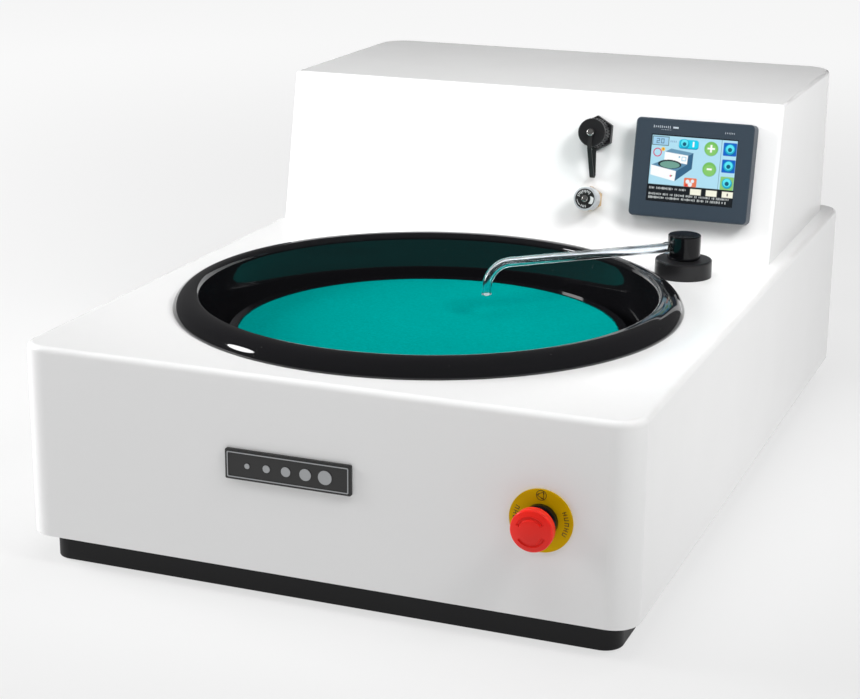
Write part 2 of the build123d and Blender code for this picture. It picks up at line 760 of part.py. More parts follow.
# Mushroom head: a domed button with two finger grooves, turned on the stem to release it.
with BuildPart() as estop_mushroom:
    with BuildSketch(radial_plane(0)) as cap_section:
        with BuildLine():
            edge_low = (mushroom_radius - 0.3, 14.6)
            edge_middle = (mushroom_radius, 20.2)
            edge_high = (brow_radius, brow_height)
            Polyline((0, skirt_bottom), (9.8, skirt_bottom), (10.6, 13.4), edge_low, edge_middle)
            ThreePointArc(edge_middle, (mushroom_radius - 0.2, 21.3), edge_high)
            ThreePointArc(edge_high, (8.0, dome_height(8.0)), (0, mushroom_top))
            Line((0, mushroom_top), (0, skirt_bottom))
        make_face()
    revolve(cap_section.sketch, stop_axis)
    for start in (35, 215):
        with BuildSketch(radial_plane(start)) as groove:
            with Locations((groove_radius, dome_height(groove_radius) + 0.25)):
                Circle(groove_size)
        revolve(groove.sketch, stop_axis, revolution_arc=125, mode=Mode.SUBTRACT)
    hole = stem_head - skirt_bottom + 0.5
    disc(on_front(stop_place, skirt_bottom), stop_stem_radius + running_gap, hole, mode=Mode.SUBTRACT)
save(estop_mushroom.part, "estop_mushroom")

# ---- Front nameplate ----------------------------------------------------------------------------

plate_place = (-17.0, deck_z - 67.0)
plate_size = (97.0, 22.5)
plate_thickness = 2.6
with BuildPart() as nameplate:
    slab(on_front(plate_place), plate_size[0], plate_size[1], plate_thickness, 1.2)
    fillet(nameplate.faces().sort_by(Axis.Y)[0].edges(), 0.5)
save(nameplate.part, "nameplate")

# Raised trim on the plate: a thin frame and five plain dots of growing size.
with BuildPart() as nameplate_trim:
    with BuildSketch(on_front(plate_place, plate_thickness)) as trim:
        RectangleRounded(plate_size[0] - 3.4, plate_size[1] - 3.4, 1)
        RectangleRounded(plate_size[0] - 5, plate_size[1] - 5, 0.6, mode=Mode.SUBTRACT)
    extrude(trim.sketch, amount=0.4)
    with BuildSketch(on_front(plate_place, plate_thickness)) as dots:
        for i in range(5):
            with Locations((-31 + 15 * i, 0)):
                Circle(2.0 + 0.8 * i)
    extrude(dots.sketch, amount=0.4)
save(nameplate_trim.part, "nameplate_trim")

# ---- Touch panel --------------------------------------------------------------------------------

display_size = (102.3, 84.0)
display_body = (display_place[0] - 0.85, display_place[1])
display_depth = 16.0
window_size = (75.0, 57.0)
with BuildPart() as display_bezel:
    slab(on_hood(display_body), display_size[0], display_size[1], display_depth, 4)
    front = display_bezel.faces().filter_by(lambda f: f.normal_at().dot(Vector(*hood_normal)) > 0.99)[0]
    fillet(front.edges(), 1.6)
    slab(on_hood(display_place, display_depth), window_size[0], window_size[1], -2.4, mode=Mode.SUBTRACT)
    tube(on_hood(display_place), display_hole_radius - 0.15, 8, -28)
save(display_bezel.part, "display_bezel")

with BuildPart() as display_screen:
    slab(on_hood(display_place, display_depth - 2.4), window_size[0] - 0.1, window_size[1] - 0.1, 1.9)
save(display_screen.part, "display_screen")

with BuildPart() as display_module:
    slab(on_hood(display_place, -28), 66, 56, -26, 3)
    with BuildSketch(on_hood(display_place, -54)) as module_slots:
        with GridLocations(7, 0, 7, 1):
            SlotOverall(36, 2.4, rotation=90)
    extrude(module_slots.sketch, amount=2, mode=Mode.SUBTRACT)
save(display_module.part, "display_module")

# ---- Sealed service connector -------------------------------------------------------------------

connector_flats = 26.5
connector_thread = 9.0
cap_radius = 12.0
cap_back = 7.8
cap_front = 21.0
strap_ring = (6.0, 7.4)
with BuildPart() as connector_nut:
    hexagon(on_hood(connector_place), connector_flats, strap_ring[0], connector_thread + 0.1)
    rim_faces = connector_nut.faces().filter_by(lambda f: f.normal_at().dot(Vector(*hood_normal)) > 0.99)
    chamfer(rim_faces[0].outer_wire().edges(), 0.8)
save(connector_nut.part, "connector_nut")

with BuildPart() as connector_body:
    tube(on_hood(connector_place, -24), connector_thread, 6.2, 24 + 14)
    disc(on_hood(connector_place, -24), connector_thread, 10)
    slab(on_hood(connector_place, -24), 22, 20, -18, 1.5)
save(connector_body.part, "connector_body")

# Cap with a fine grip on the rear half of its side.
grip_count = 30
with BuildPart() as connector_cap:
    disc(on_hood(connector_place, cap_back), cap_radius, cap_front - cap_back)
    cap_face = connector_cap.faces().filter_by(lambda f: f.normal_at().dot(Vector(*hood_normal)) > 0.99)[0]
    fillet(cap_face.edges(), 1.2)
    with BuildSketch(on_hood(connector_place, cap_back)) as grips:
        with PolarLocations(cap_radius, grip_count):
            Circle(0.75)
    extrude(grips.sketch, amount=7.5)
    disc(on_hood(connector_place, cap_back), connector_thread + 0.35, 7.5, mode=Mode.SUBTRACT)
    disc(on_hood(connector_place, cap_front), 1.6, -5, mode=Mode.SUBTRACT)
save(connector_cap.part, "connector_cap")

strap_thickness = 1.4
strap_width = 3.7
eyelet_low = cap_front + 0.35
with BuildPart() as cap_screw:
    disc(on_hood(connector_place, cap_front - 5), 1.55, 5 + 0.35 + strap_thickness + 0.35)
    head_base = eyelet_low + strap_thickness + 0.35
    with BuildSketch(on_hood(connector_place, head_base)) as screw_head:
        Circle(3.3)
    extrude(screw_head.sketch, amount=1.7)
    crown_edges = [e for e in cap_screw.edges().filter_by(GeomType.CIRCLE) if e.radius > 3]
    outward = Vector(*hood_normal)
    fillet([max(crown_edges, key=lambda e: e.center().dot(outward))], 1.2)
save(cap_screw.part, "cap_screw")

# Strap: an eyelet under the cap's screw, a loop that hangs down, and a ring round the connector's thread.
loop_bottom = 38.0
loop_out = 2.2
loop_gap = 4.2
strap_plane = Plane(
    origin=on_hood(connector_place).origin,
    x_dir=(0, sin(lean), cos(lean)),
    z_dir=(1, 0, 0),
)
strap_out = eyelet_low + strap_thickness / 2
strap_in = (strap_ring[0] + strap_ring[1]) / 2
with BuildPart() as cap_strap:
    tube(on_hood(connector_place, eyelet_low), 3.4, 1.95, strap_thickness)
    tube(on_hood(connector_place, strap_ring[0]), 11.5, connector_thread + 0.1, strap_ring[1] - strap_ring[0])
    with BuildLine(strap_plane) as strap_path:
        FilletPolyline(
            (-2.6, strap_out),
            (-13.5, strap_out),
            (-loop_bottom, loop_out + loop_gap),
            (-loop_bottom, loop_out),
            (-17.0, strap_in),
            (-10.4, strap_in),
            radius=[4, 1.9, 1.9, 8],
        )
    strap_start = strap_path.wire().position_at(0)
    strap_heading = strap_path.wire().tangent_at(0)
    with BuildSketch(Plane(origin=strap_start, x_dir=(1, 0, 0), z_dir=strap_heading)) as strap_section:
        Rectangle(strap_width, strap_thickness)
    sweep(strap_section.sketch, path=strap_path.wire())
save(cap_strap.part, "cap_strap")

# ---- Water valve, spout and inlet ---------------------------------------------------------------

valve_thread = 7.5
valve_stem_radius = 3.0
knob_radius = 10.3
knob_back = 7.4
knob_front = 20.0
with BuildPart() as valve_nut:
    hexagon(on_hood(valve_place), 18.6, 6.4, valve_thread + 0.1)
save(valve_nut.part, "valve_nut")

valve_body_back = -36.0
with BuildPart() as valve_body:
    slab(on_hood(valve_place, -wall), 28, 28, valve_body_back + wall, 3)
    disc(on_hood(valve_place, -wall), valve_thread, wall + 6.8)
    valve_centre = hood_face.from_local_coords((valve_place[0], valve_place[1], -20))
    side_port = Plane(origin=valve_centre + Vector(-14, 0, 0), x_dir=(0, 1, 0), z_dir=(-1, 0, 0))
    low_port = Plane(origin=valve_centre, x_dir=(1, 0, 0), z_dir=(0, -sin(lean), -cos(lean))).offset(14)
    disc(side_port, 6, 10)
    disc(low_port, 6, 10)
    disc(on_hood(valve_place, 7), valve_stem_radius + running_gap, -30, mode=Mode.SUBTRACT)
save(valve_body.part, "valve_body")

# Knob and its stem, turned as one piece.
with BuildPart() as valve_knob:
    disc(on_hood(valve_place, knob_back), knob_radius, knob_front - knob_back)
    knob_face = valve_knob.faces().filter_by(lambda f: f.normal_at().dot(Vector(*hood_normal)) > 0.99)[0]
    fillet(knob_face.edges(), 0.8)
    disc(on_hood(valve_place, knob_front), 8.7, -0.8, mode=Mode.SUBTRACT)
    disc(on_hood(valve_place, -20), valve_stem_radius, 20 + knob_back)
save(valve_knob.part, "valve_knob")

with BuildPart() as valve_dial:
    disc(on_hood(valve_place, knob_front - 0.8), 8.6, 1.0)
save(valve_dial.part, "valve_dial")

with BuildPart() as valve_knob_screw:
    disc(on_hood(valve_place, knob_front + 0.2), 3.0, 1.6)
    screw_edges = valve_knob_screw.edges().filter_by(GeomType.CIRCLE)
    fillet([max(screw_edges, key=lambda e: e.center().dot(outward))], 1.1)
save(valve_knob_screw.part, "valve_knob_screw")

# Swivel spout: a fixed base on the deck, a turning column, and a clear tube bent down over the cloth.
base_radius = 23.5
base_height = 14.4
column_radius = 13.6
column_top = 34.8
journal_radius = 8.0
spout_floor = level(spout_x, spout_y, deck_z)
with BuildPart() as spout_base:
    disc(spout_floor, base_radius, base_height)
    fillet(spout_base.faces().sort_by(Axis.Z)[-1].edges(), 1.6)
    disc(spout_floor, spout_shank_radius, -24)
    disc(spout_floor.offset(-12), journal_radius + running_gap, 12 + base_height, mode=Mode.SUBTRACT)
    disc(spout_floor.offset(-24), 3, 12, mode=Mode.SUBTRACT)
save(spout_base.part, "spout_base")

# Lock nuts behind the panels: spout base, emergency stop and touch panel.
with BuildPart() as panel_nuts:
    hexagon(spout_floor.offset(-wall - 6), 30, 6, spout_shank_radius + 0.1)
    hexagon(on_front(stop_place, -wall - 4), 20, 4, stop_barrel_radius + 0.1)
    tube(on_hood(display_place, -wall), 18, display_hole_radius + 0.05, -6)
save(panel_nuts.part, "panel_nuts")

turn = radians(spout_direction)
spout_heading = (cos(turn), sin(turn), 0)
tube_z = deck_z + spout_height
tip_z = deck_z
with BuildPart() as spout_column:
    disc(spout_floor.offset(-11.5), journal_radius, 11.5 + base_height)
    disc(spout_floor.offset(base_height), column_radius - 1.2, 1.6)
    disc(spout_floor.offset(base_height + 0.9), column_radius, column_top - base_height - 0.9)
    fillet(spout_column.faces().sort_by(Axis.Z)[-1].edges(), 1.2)
    bore_plane = Plane(origin=(spout_x, spout_y, tube_z), x_dir=(0, 0, 1), z_dir=spout_heading)
    disc(bore_plane.offset(4), tube_radius + 0.05, 20, mode=Mode.SUBTRACT)
    disc(spout_floor.offset(-11.5), tube_bore, 11.5 + spout_height, mode=Mode.SUBTRACT)
save(spout_column.part, "spout_column")

with BuildPart() as spout_tube:
    with BuildLine() as spout_path:
        FilletPolyline(
            (spout_x + 4.2 * cos(turn), spout_y + 4.2 * sin(turn), tube_z),
            (spout_x + spout_reach * cos(turn), spout_y + spout_reach * sin(turn), tube_z),
            (spout_x + spout_reach * cos(turn), spout_y + spout_reach * sin(turn), tip_z),
            radius=tube_bend,
        )
    with BuildSketch(bore_plane.offset(4.2)) as tube_section:
        Circle(tube_radius)
        Circle(tube_bore, mode=Mode.SUBTRACT)
    sweep(tube_section.sketch, path=spout_path.wire())
save(spout_tube.part, "spout_tube")

with BuildPart() as blanking_plug:
    plug_floor = level(blank_x, spout_y, deck_z)
    disc(plug_floor, base_radius - 0.5, 3)
    fillet(blanking_plug.faces().sort_by(Axis.Z)[-1].edges(), 1.2)
    tube(plug_floor, spout_shank_radius, spout_shank_radius - 2, -12)
save(blanking_plug.part, "blanking_plug")

# Inlet valve with its hose thread through the rear wall, and the coil on top of it.
solenoid_plane = on_rear(water_place)
with BuildPart() as inlet_solenoid:
    tube(solenoid_plane, water_radius + 5, 7.5, 3)
    tube(solenoid_plane.offset(3), water_radius, 7.5, 17)
    disc(solenoid_plane, water_radius, -10)
    slab(solenoid_plane.offset(-10), 34, 34, -34, 3)
    outlet = Plane(origin=(water_place[0], rear_y - 44, water_place[1]), x_dir=(1, 0, 0), z_dir=(0, -1, 0))
    disc(outlet, 6, 8)
    slab(level(water_place[0], rear_y - 27, water_place[1] + 17), 30, 30, 34, 3)
save(inlet_solenoid.part, "inlet_solenoid")

hose_radius = 5.0
side_start = side_port.origin + Vector(-10.2, 0, 0)
feed_route = [
    (water_place[0], rear_y - 52.2, water_place[1]),
    (water_place[0], 190, water_place[1]),
    (-120, 140, water_place[1] + 45),
    (-50, side_start.Y, side_start.Z),
    (side_start.X, side_start.Y, side_start.Z),
]
low_start = low_port.origin + Vector(*low_port.z_dir) * 10.2
low_second = low_port.origin + Vector(*low_port.z_dir) * 42
nipple_z = deck_z - 24.2
spout_route = [
    (low_start.X, low_start.Y, low_start.Z),
    (low_second.X, low_second.Y, low_second.Z),
    (110, 80, nipple_z - 45),
    (spout_x, spout_y, nipple_z - 34),
    (spout_x, spout_y, nipple_z),
]
with BuildPart() as water_hoses:
    run_hose(feed_route, hose_radius, 3)
    run_hose(spout_route, hose_radius, 3)
save(water_hoses.part, "water_hoses")
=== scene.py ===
import math
import bmesh
import bpy
import numpy as np
from mathutils import Matrix, Vector


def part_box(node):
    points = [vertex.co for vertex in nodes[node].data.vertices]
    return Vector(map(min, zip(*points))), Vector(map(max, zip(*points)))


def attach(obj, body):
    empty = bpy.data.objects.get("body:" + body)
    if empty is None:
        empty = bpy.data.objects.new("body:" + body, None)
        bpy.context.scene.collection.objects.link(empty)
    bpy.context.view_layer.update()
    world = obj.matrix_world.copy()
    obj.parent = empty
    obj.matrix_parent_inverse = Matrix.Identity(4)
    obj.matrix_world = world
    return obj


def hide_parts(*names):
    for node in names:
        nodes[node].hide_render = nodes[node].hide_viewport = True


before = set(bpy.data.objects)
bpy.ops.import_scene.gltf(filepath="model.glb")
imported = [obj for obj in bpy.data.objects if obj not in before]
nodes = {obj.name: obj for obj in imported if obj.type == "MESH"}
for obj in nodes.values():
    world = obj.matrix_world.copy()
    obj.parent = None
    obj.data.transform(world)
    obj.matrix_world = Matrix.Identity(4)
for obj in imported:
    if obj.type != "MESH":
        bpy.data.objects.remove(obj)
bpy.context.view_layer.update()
mm = 0.001

print("stage 1: places read from the frame")
bowlLow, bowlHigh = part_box("bowl")
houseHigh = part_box("lower_housing")[1]
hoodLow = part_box("rear_hood")[0]
clothLow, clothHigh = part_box("polishing_cloth")
bowlAxis = Vector(((bowlLow.x + bowlHigh.x) / 2, (bowlLow.y + bowlHigh.y) / 2, houseHigh.z))
faceLean = math.radians(12.08)
faceOut = Vector((0, -math.cos(faceLean), math.sin(faceLean)))
faceUp = Vector((0, math.sin(faceLean), math.cos(faceLean)))
faceFoot = Vector((0, hoodLow.y, hoodLow.z))


def onFace(x, up, out=0.0):
    # point on the leaning control face: across, up the slope and out of it, in millimetres
    return faceFoot + Vector((x * mm, 0, 0)) + faceUp * (up * mm) + faceOut * (out * mm)


cameraLook = {
    "fromBowl": (0.549095, -1.397387, 0.417952),
    "right": (0.93020125, 0.36697167, 0.00757783),
    "up": (-0.11344551, 0.26780516, 0.95677088),
    "back": (0.34907843, -0.89084914, 0.29074399),
    "lens": 83.03,
    "sensor": 36.0,
}


def makeCamera(look):
    data = bpy.data.cameras.new("studioCamera")
    data.lens = look["lens"]
    data.sensor_width = look["sensor"]
    data.clip_start = 0.05
    data.clip_end = 40
    camera = bpy.data.objects.new("studioCamera", data)
    bpy.context.scene.collection.objects.link(camera)
    turn = Matrix((look["right"], look["up"], look["back"])).transposed()
    camera.matrix_world = Matrix.Translation(bowlAxis + Vector(look["fromBowl"])) @ turn.to_4x4()
    bpy.context.scene.camera = camera


makeCamera(cameraLook)

stageLook = {
    "size": 14.0,
    "floor": (0.22, 0.22, 0.22),
    "glowStart": 0.6,
    "glowEnd": 2.6,
    "glowNear": 0.66,
    "glowFar": 0.88,
    "world": (1.0, 1.0, 1.0),
    "worldStrength": 0.12,
}
lightLook = {
    # name: (position, aimed at, width, height, watts, spread in degrees, seen in gloss)
    "leftSoft": ((-1.36, -0.68, 0.82), (0, -0.13, 0.17), 0.4, 0.4, 8.2, 180, True),
    "rearSoft": ((0.52, 0.26, 1.63), (0, -0.13, 0.17), 0.5, 0.16, 2.2, 180, False),
    "leftFill": ((-2.2, -0.2, 0.9), (0, 0, 0.15), 1.0, 1.0, 42, 180, False),
    "rightFill": ((1.9, -1.2, 0.8), (0, 0, 0.15), 0.9, 0.9, 2.6, 180, False),
    "topFill": ((0, -0.1, 2.0), (0, 0, 0.15), 1.2, 1.2, 6.4, 180, False),
    "deckFill": ((0, -0.6, 1.1), (0, 0, 0.2), 0.8, 0.4, 0.7, 60, False),
    "rightNear": ((0.9, -0.5, 1.1), (0, 0.05, 0.2), 0.5, 0.5, 1.7, 60, False),
}


def makeFloor(look):
    # flat paper whose own faint glow rises with distance, so it stays even out to its far edge
    half = look["size"] / 2
    mesh = bpy.data.meshes.new("studioFloor")
    corners = [(-half, -half, 0), (half, -half, 0), (half, half, 0), (-half, half, 0)]
    mesh.from_pydata(corners, [], [(0, 1, 2, 3)])
    floor = bpy.data.objects.new("studioFloor", mesh)
    bpy.context.scene.collection.objects.link(floor)
    paint = bpy.data.materials.new("floorPaper")
    paint.use_nodes = True
    tree = paint.node_tree
    shader = tree.nodes["Principled BSDF"]
    shader.inputs["Base Color"].default_value = (*look["floor"], 1)
    shader.inputs["Roughness"].default_value = 0.9
    shader.inputs["Specular IOR Level"].default_value = 0.1
    shader.inputs["Emission Strength"].default_value = 1.0
    place = tree.nodes.new("ShaderNodeTexCoord").outputs["Object"]
    reach = tree.nodes.new("ShaderNodeVectorMath")
    reach.operation = "LENGTH"
    tree.links.new(place, reach.inputs[0])
    glow = tree.nodes.new("ShaderNodeMapRange")
    glow.interpolation_type = "SMOOTHSTEP"
    glow.inputs["From Min"].default_value = look["glowStart"]
    glow.inputs["From Max"].default_value = look["glowEnd"]
    glow.inputs["To Min"].default_value = look["glowNear"]
    glow.inputs["To Max"].default_value = look["glowFar"]
    tree.links.new(reach.outputs["Value"], glow.inputs["Value"])
    tree.links.new(glow.outputs["Result"], shader.inputs["Emission Color"])
    mesh.materials.append(paint)
    world = bpy.data.worlds.new("studioWorld")
    world.use_nodes = True
    back = world.node_tree.nodes["Background"]
    back.inputs["Color"].default_value = (*look["world"], 1)
    back.inputs["Strength"].default_value = look["worldStrength"]
    bpy.context.scene.world = world


def makeLight(name, place, aim, width, height, power, spread, inGloss):
    data = bpy.data.lights.new(name, "AREA")
    data.shape = "ELLIPSE"
    data.size = width
    data.size_y = height
    data.energy = power
    data.spread = math.radians(spread)
    lamp = bpy.data.objects.new(name, data)
    bpy.context.scene.collection.objects.link(lamp)
    lamp.visible_glossy = inGloss
    lamp.location = place
    lamp.rotation_euler = (Vector(aim) - Vector(place)).to_track_quat("-Z", "Y").to_euler()


makeFloor(stageLook)
for lampName, lampValues in lightLook.items():
    makeLight(lampName, *lampValues)
bpy.context.scene.view_settings.view_transform = "Standard"
print("stage 2: camera, floor and lights")


def newGroup(name, inputs, outputs):
    group = bpy.data.node_groups.new(name, "ShaderNodeTree")
    for label, kind, value in inputs:
        socket = group.interface.new_socket(name=label, in_out="INPUT", socket_type=kind)
        socket.default_value = value
    for label, kind in outputs:
        group.interface.new_socket(name=label, in_out="OUTPUT", socket_type=kind)
    source = group.nodes.new("NodeGroupInput")
    sink = group.nodes.new("NodeGroupOutput")
    return group, source, sink


def addNode(tree, kind, settings=None, **links):
    # adds a node; links are input names with either a value or another node's socket
    node = tree.nodes.new(kind)
    for key, value in (settings or {}).items():
        setattr(node, key, value)
    for key, value in links.items():
        if isinstance(value, bpy.types.NodeSocket):
            tree.links.new(value, node.inputs[key])
        else:
            node.inputs[key].default_value = value
    return node


def mathNode(tree, operation, first, second=0.0, third=None, clamp=False):
    node = tree.nodes.new("ShaderNodeMath")
    node.operation = operation
    node.use_clamp = clamp
    for index, value in enumerate((first, second, third)):
        if value is None:
            continue
        if isinstance(value, bpy.types.NodeSocket):
            tree.links.new(value, node.inputs[index])
        else:
            node.inputs[index].default_value = value
    return node.outputs[0]


def rangeNode(tree, value, low, high, newLow=0.0, newHigh=1.0):
    node = tree.nodes.new("ShaderNodeMapRange")
    node.interpolation_type = "SMOOTHSTEP"
    tree.links.new(value, node.inputs["Value"])
    node.inputs["From Min"].default_value = low
    node.inputs["From Max"].default_value = high
    node.inputs["To Min"].default_value = newLow
    node.inputs["To Max"].default_value = newHigh
    return node.outputs["Result"]


def mixColor(tree, factor, first, second):
    node = tree.nodes.new("ShaderNodeMix")
    node.data_type = "RGBA"
    for socket, value in ((node.inputs[0], factor), (node.inputs[6], first), (node.inputs[7], second)):
        if isinstance(value, bpy.types.NodeSocket):
            tree.links.new(value, socket)
        else:
            socket.default_value = value
    return node.outputs[2]


def buildSurfaceGroup():
    # moulded or painted surface: slow tone change, fine grain height and a few dust specks
    group, source, sink = newGroup(
        "mouldedSurface",
        [
            ("Color", "NodeSocketColor", (0.8, 0.8, 0.8, 1)),
            ("Tone Change", "NodeSocketFloat", 0.03),
            ("Grain Size", "NodeSocketFloat", 0.6),
            ("Roughness", "NodeSocketFloat", 0.3),
            ("Roughness Change", "NodeSocketFloat", 0.08),
            ("Dust", "NodeSocketFloat", 0.3),
        ],
        [
            ("Color", "NodeSocketColor"),
            ("Roughness", "NodeSocketFloat"),
            ("Height", "NodeSocketFloat"),
        ],
    )
    place = addNode(group, "ShaderNodeTexCoord").outputs["Object"]
    slow = addNode(group, "ShaderNodeTexNoise", Vector=place, Scale=9.0, Detail=3.0).outputs["Fac"]
    grainScale = mathNode(group, "DIVIDE", 1000.0, source.outputs["Grain Size"])
    grain = addNode(group, "ShaderNodeTexNoise", Vector=place, Scale=grainScale, Detail=2.0).outputs["Fac"]
    speck = addNode(group, "ShaderNodeTexVoronoi", Vector=place, Scale=420.0).outputs["Distance"]
    rare = addNode(group, "ShaderNodeTexNoise", Vector=place, Scale=60.0, Detail=4.0).outputs["Fac"]
    spot = mathNode(group, "MULTIPLY", rangeNode(group, speck, 0.2, 0.08), rangeNode(group, rare, 0.62, 0.72))
    dust = mathNode(group, "MULTIPLY", spot, source.outputs["Dust"], clamp=True)
    swing = mathNode(group, "MULTIPLY", mathNode(group, "SUBTRACT", slow, 0.5), source.outputs["Tone Change"])
    level = mathNode(group, "ADD", 1.0, swing)
    scaled = addNode(group, "ShaderNodeVectorMath", {"operation": "SCALE"})
    group.links.new(source.outputs["Color"], scaled.inputs[0])
    group.links.new(level, scaled.inputs["Scale"])
    toned = mixColor(group, dust, scaled.outputs[0], (0.45, 0.43, 0.4, 1))
    group.links.new(toned, sink.inputs["Color"])
    centred = mathNode(group, "SUBTRACT", slow, 0.5)
    change, base = source.outputs["Roughness Change"], source.outputs["Roughness"]
    rough = mathNode(group, "MULTIPLY_ADD", centred, change, base)
    rough = mathNode(group, "ADD", rough, mathNode(group, "MULTIPLY", dust, 0.4), clamp=True)
    group.links.new(rough, sink.inputs["Roughness"])
    group.links.new(grain, sink.inputs["Height"])
    return group


def buildWearGroup():
    # outer edges found from the change between the true and a rounded normal, broken up by noise
    group, source, sink = newGroup(
        "edgeWear",
        [
            ("Color", "NodeSocketColor", (0.5, 0.5, 0.5, 1)),
            ("Worn Color", "NodeSocketColor", (0.7, 0.7, 0.7, 1)),
            ("Radius", "NodeSocketFloat", 0.0008),
            ("Amount", "NodeSocketFloat", 0.5),
        ],
        [("Color", "NodeSocketColor")],
    )
    place = addNode(group, "ShaderNodeTexCoord").outputs["Object"]
    bevel = addNode(group, "ShaderNodeBevel", {"samples": 4}, Radius=source.outputs["Radius"])
    rounded = bevel.outputs["Normal"]
    plain = addNode(group, "ShaderNodeNewGeometry").outputs["Normal"]
    match = addNode(group, "ShaderNodeVectorMath", {"operation": "DOT_PRODUCT"})
    group.links.new(rounded, match.inputs[0])
    group.links.new(plain, match.inputs[1])
    edge = rangeNode(group, match.outputs["Value"], 0.995, 0.9)
    broken = addNode(group, "ShaderNodeTexNoise", Vector=place, Scale=180.0, Detail=5.0).outputs["Fac"]
    mask = mathNode(group, "MULTIPLY", edge, rangeNode(group, broken, 0.42, 0.62))
    mask = mathNode(group, "MULTIPLY", mask, source.outputs["Amount"], clamp=True)
    worn = mixColor(group, mask, source.outputs["Color"], source.outputs["Worn Color"])
    group.links.new(worn, sink.inputs["Color"])
    return group


def buildBrushGroup():
    # fine turned or drawn lines: noise stretched along one direction of the piece
    group, source, sink = newGroup(
        "brushLines",
        [
            ("Color", "NodeSocketColor", (0.6, 0.6, 0.6, 1)),
            ("Stretch", "NodeSocketVector", (1.0, 1.0, 1.0)),
            ("Contrast", "NodeSocketFloat", 0.15),
            ("Roughness", "NodeSocketFloat", 0.3),
        ],
        [("Color", "NodeSocketColor"), ("Roughness", "NodeSocketFloat"), ("Height", "NodeSocketFloat")],
    )
    place = addNode(group, "ShaderNodeTexCoord").outputs["Object"]
    stretched = addNode(group, "ShaderNodeVectorMath", {"operation": "MULTIPLY"})
    group.links.new(place, stretched.inputs[0])
    group.links.new(source.outputs["Stretch"], stretched.inputs[1])
    noise = addNode(group, "ShaderNodeTexNoise", Vector=stretched.outputs[0], Scale=900.0, Detail=3.0)
    lines = noise.outputs["Fac"]
    centred = mathNode(group, "SUBTRACT", lines, 0.5)
    level = mathNode(group, "MULTIPLY_ADD", centred, source.outputs["Contrast"], 1.0)
    scaled = addNode(group, "ShaderNodeVectorMath", {"operation": "SCALE"})
    group.links.new(source.outputs["Color"], scaled.inputs[0])
    group.links.new(level, scaled.inputs["Scale"])
    group.links.new(scaled.outputs[0], sink.inputs["Color"])
    rough = mathNode(group, "MULTIPLY_ADD", centred, 0.25, source.outputs["Roughness"])
    group.links.new(rough, sink.inputs["Roughness"])
    group.links.new(lines, sink.inputs["Height"])
    return group


surfaceGroup = buildSurfaceGroup()
wearGroup = buildWearGroup()
brushGroup = buildBrushGroup()


def placeGroup(tree, group, values):
    node = tree.nodes.new("ShaderNodeGroup")
    node.node_tree = group
    for key, value in values.items():
        node.inputs[key].default_value = value
    return node


def startMaterial(name, settings):
    # new material whose even values are set on the shader itself
    material = bpy.data.materials.new(name)
    material.use_nodes = True
    shader = material.node_tree.nodes["Principled BSDF"]
    for key, value in settings.items():
        shader.inputs[key].default_value = value
    return material, material.node_tree, shader


def addBump(tree, shader, height, distance, strength=1.0):
    bump = tree.nodes.new("ShaderNodeBump")
    bump.inputs["Distance"].default_value = distance
    bump.inputs["Strength"].default_value = strength
    tree.links.new(height, bump.inputs["Height"])
    tree.links.new(bump.outputs["Normal"], shader.inputs["Normal"])


def mouldedMaterial(name, look):
    # painted, moulded or rubber finish made from the moulded surface group, with worn edges if asked
    material, tree, shader = startMaterial(name, look.get("shader", {}))
    values = {
        "Color": (*look["color"], 1),
        "Tone Change": look.get("tone", 0.04),
        "Grain Size": look.get("grain", 0.6),
        "Roughness": look["rough"],
        "Roughness Change": look.get("roughChange", 0.08),
        "Dust": look.get("dust", 0.3),
    }
    surface = placeGroup(tree, surfaceGroup, values)
    color = surface.outputs["Color"]
    if "worn" in look:
        wearValues = {"Worn Color": (*look["worn"], 1), "Radius": 0.0008, "Amount": look["wear"]}
        wear = placeGroup(tree, wearGroup, wearValues)
        tree.links.new(color, wear.inputs["Color"])
        color = wear.outputs["Color"]
    tree.links.new(color, shader.inputs["Base Color"])
    tree.links.new(surface.outputs["Roughness"], shader.inputs["Roughness"])
    addBump(tree, shader, surface.outputs["Height"], look.get("bump", 0.00002))
    return material


def metalMaterial(name, look):
    material, tree, shader = startMaterial(name, {"Metallic": 1.0})
    values = {
        "Color": (*look["color"], 1),
        "Stretch": look.get("stretch", (1.0, 1.0, 0.04)),
        "Contrast": look["contrast"],
        "Roughness": look["rough"],
    }
    lines = placeGroup(tree, brushGroup, values)
    tree.links.new(lines.outputs["Color"], shader.inputs["Base Color"])
    tree.links.new(lines.outputs["Roughness"], shader.inputs["Roughness"])
    addBump(tree, shader, lines.outputs["Height"], 0.00001)
    return material


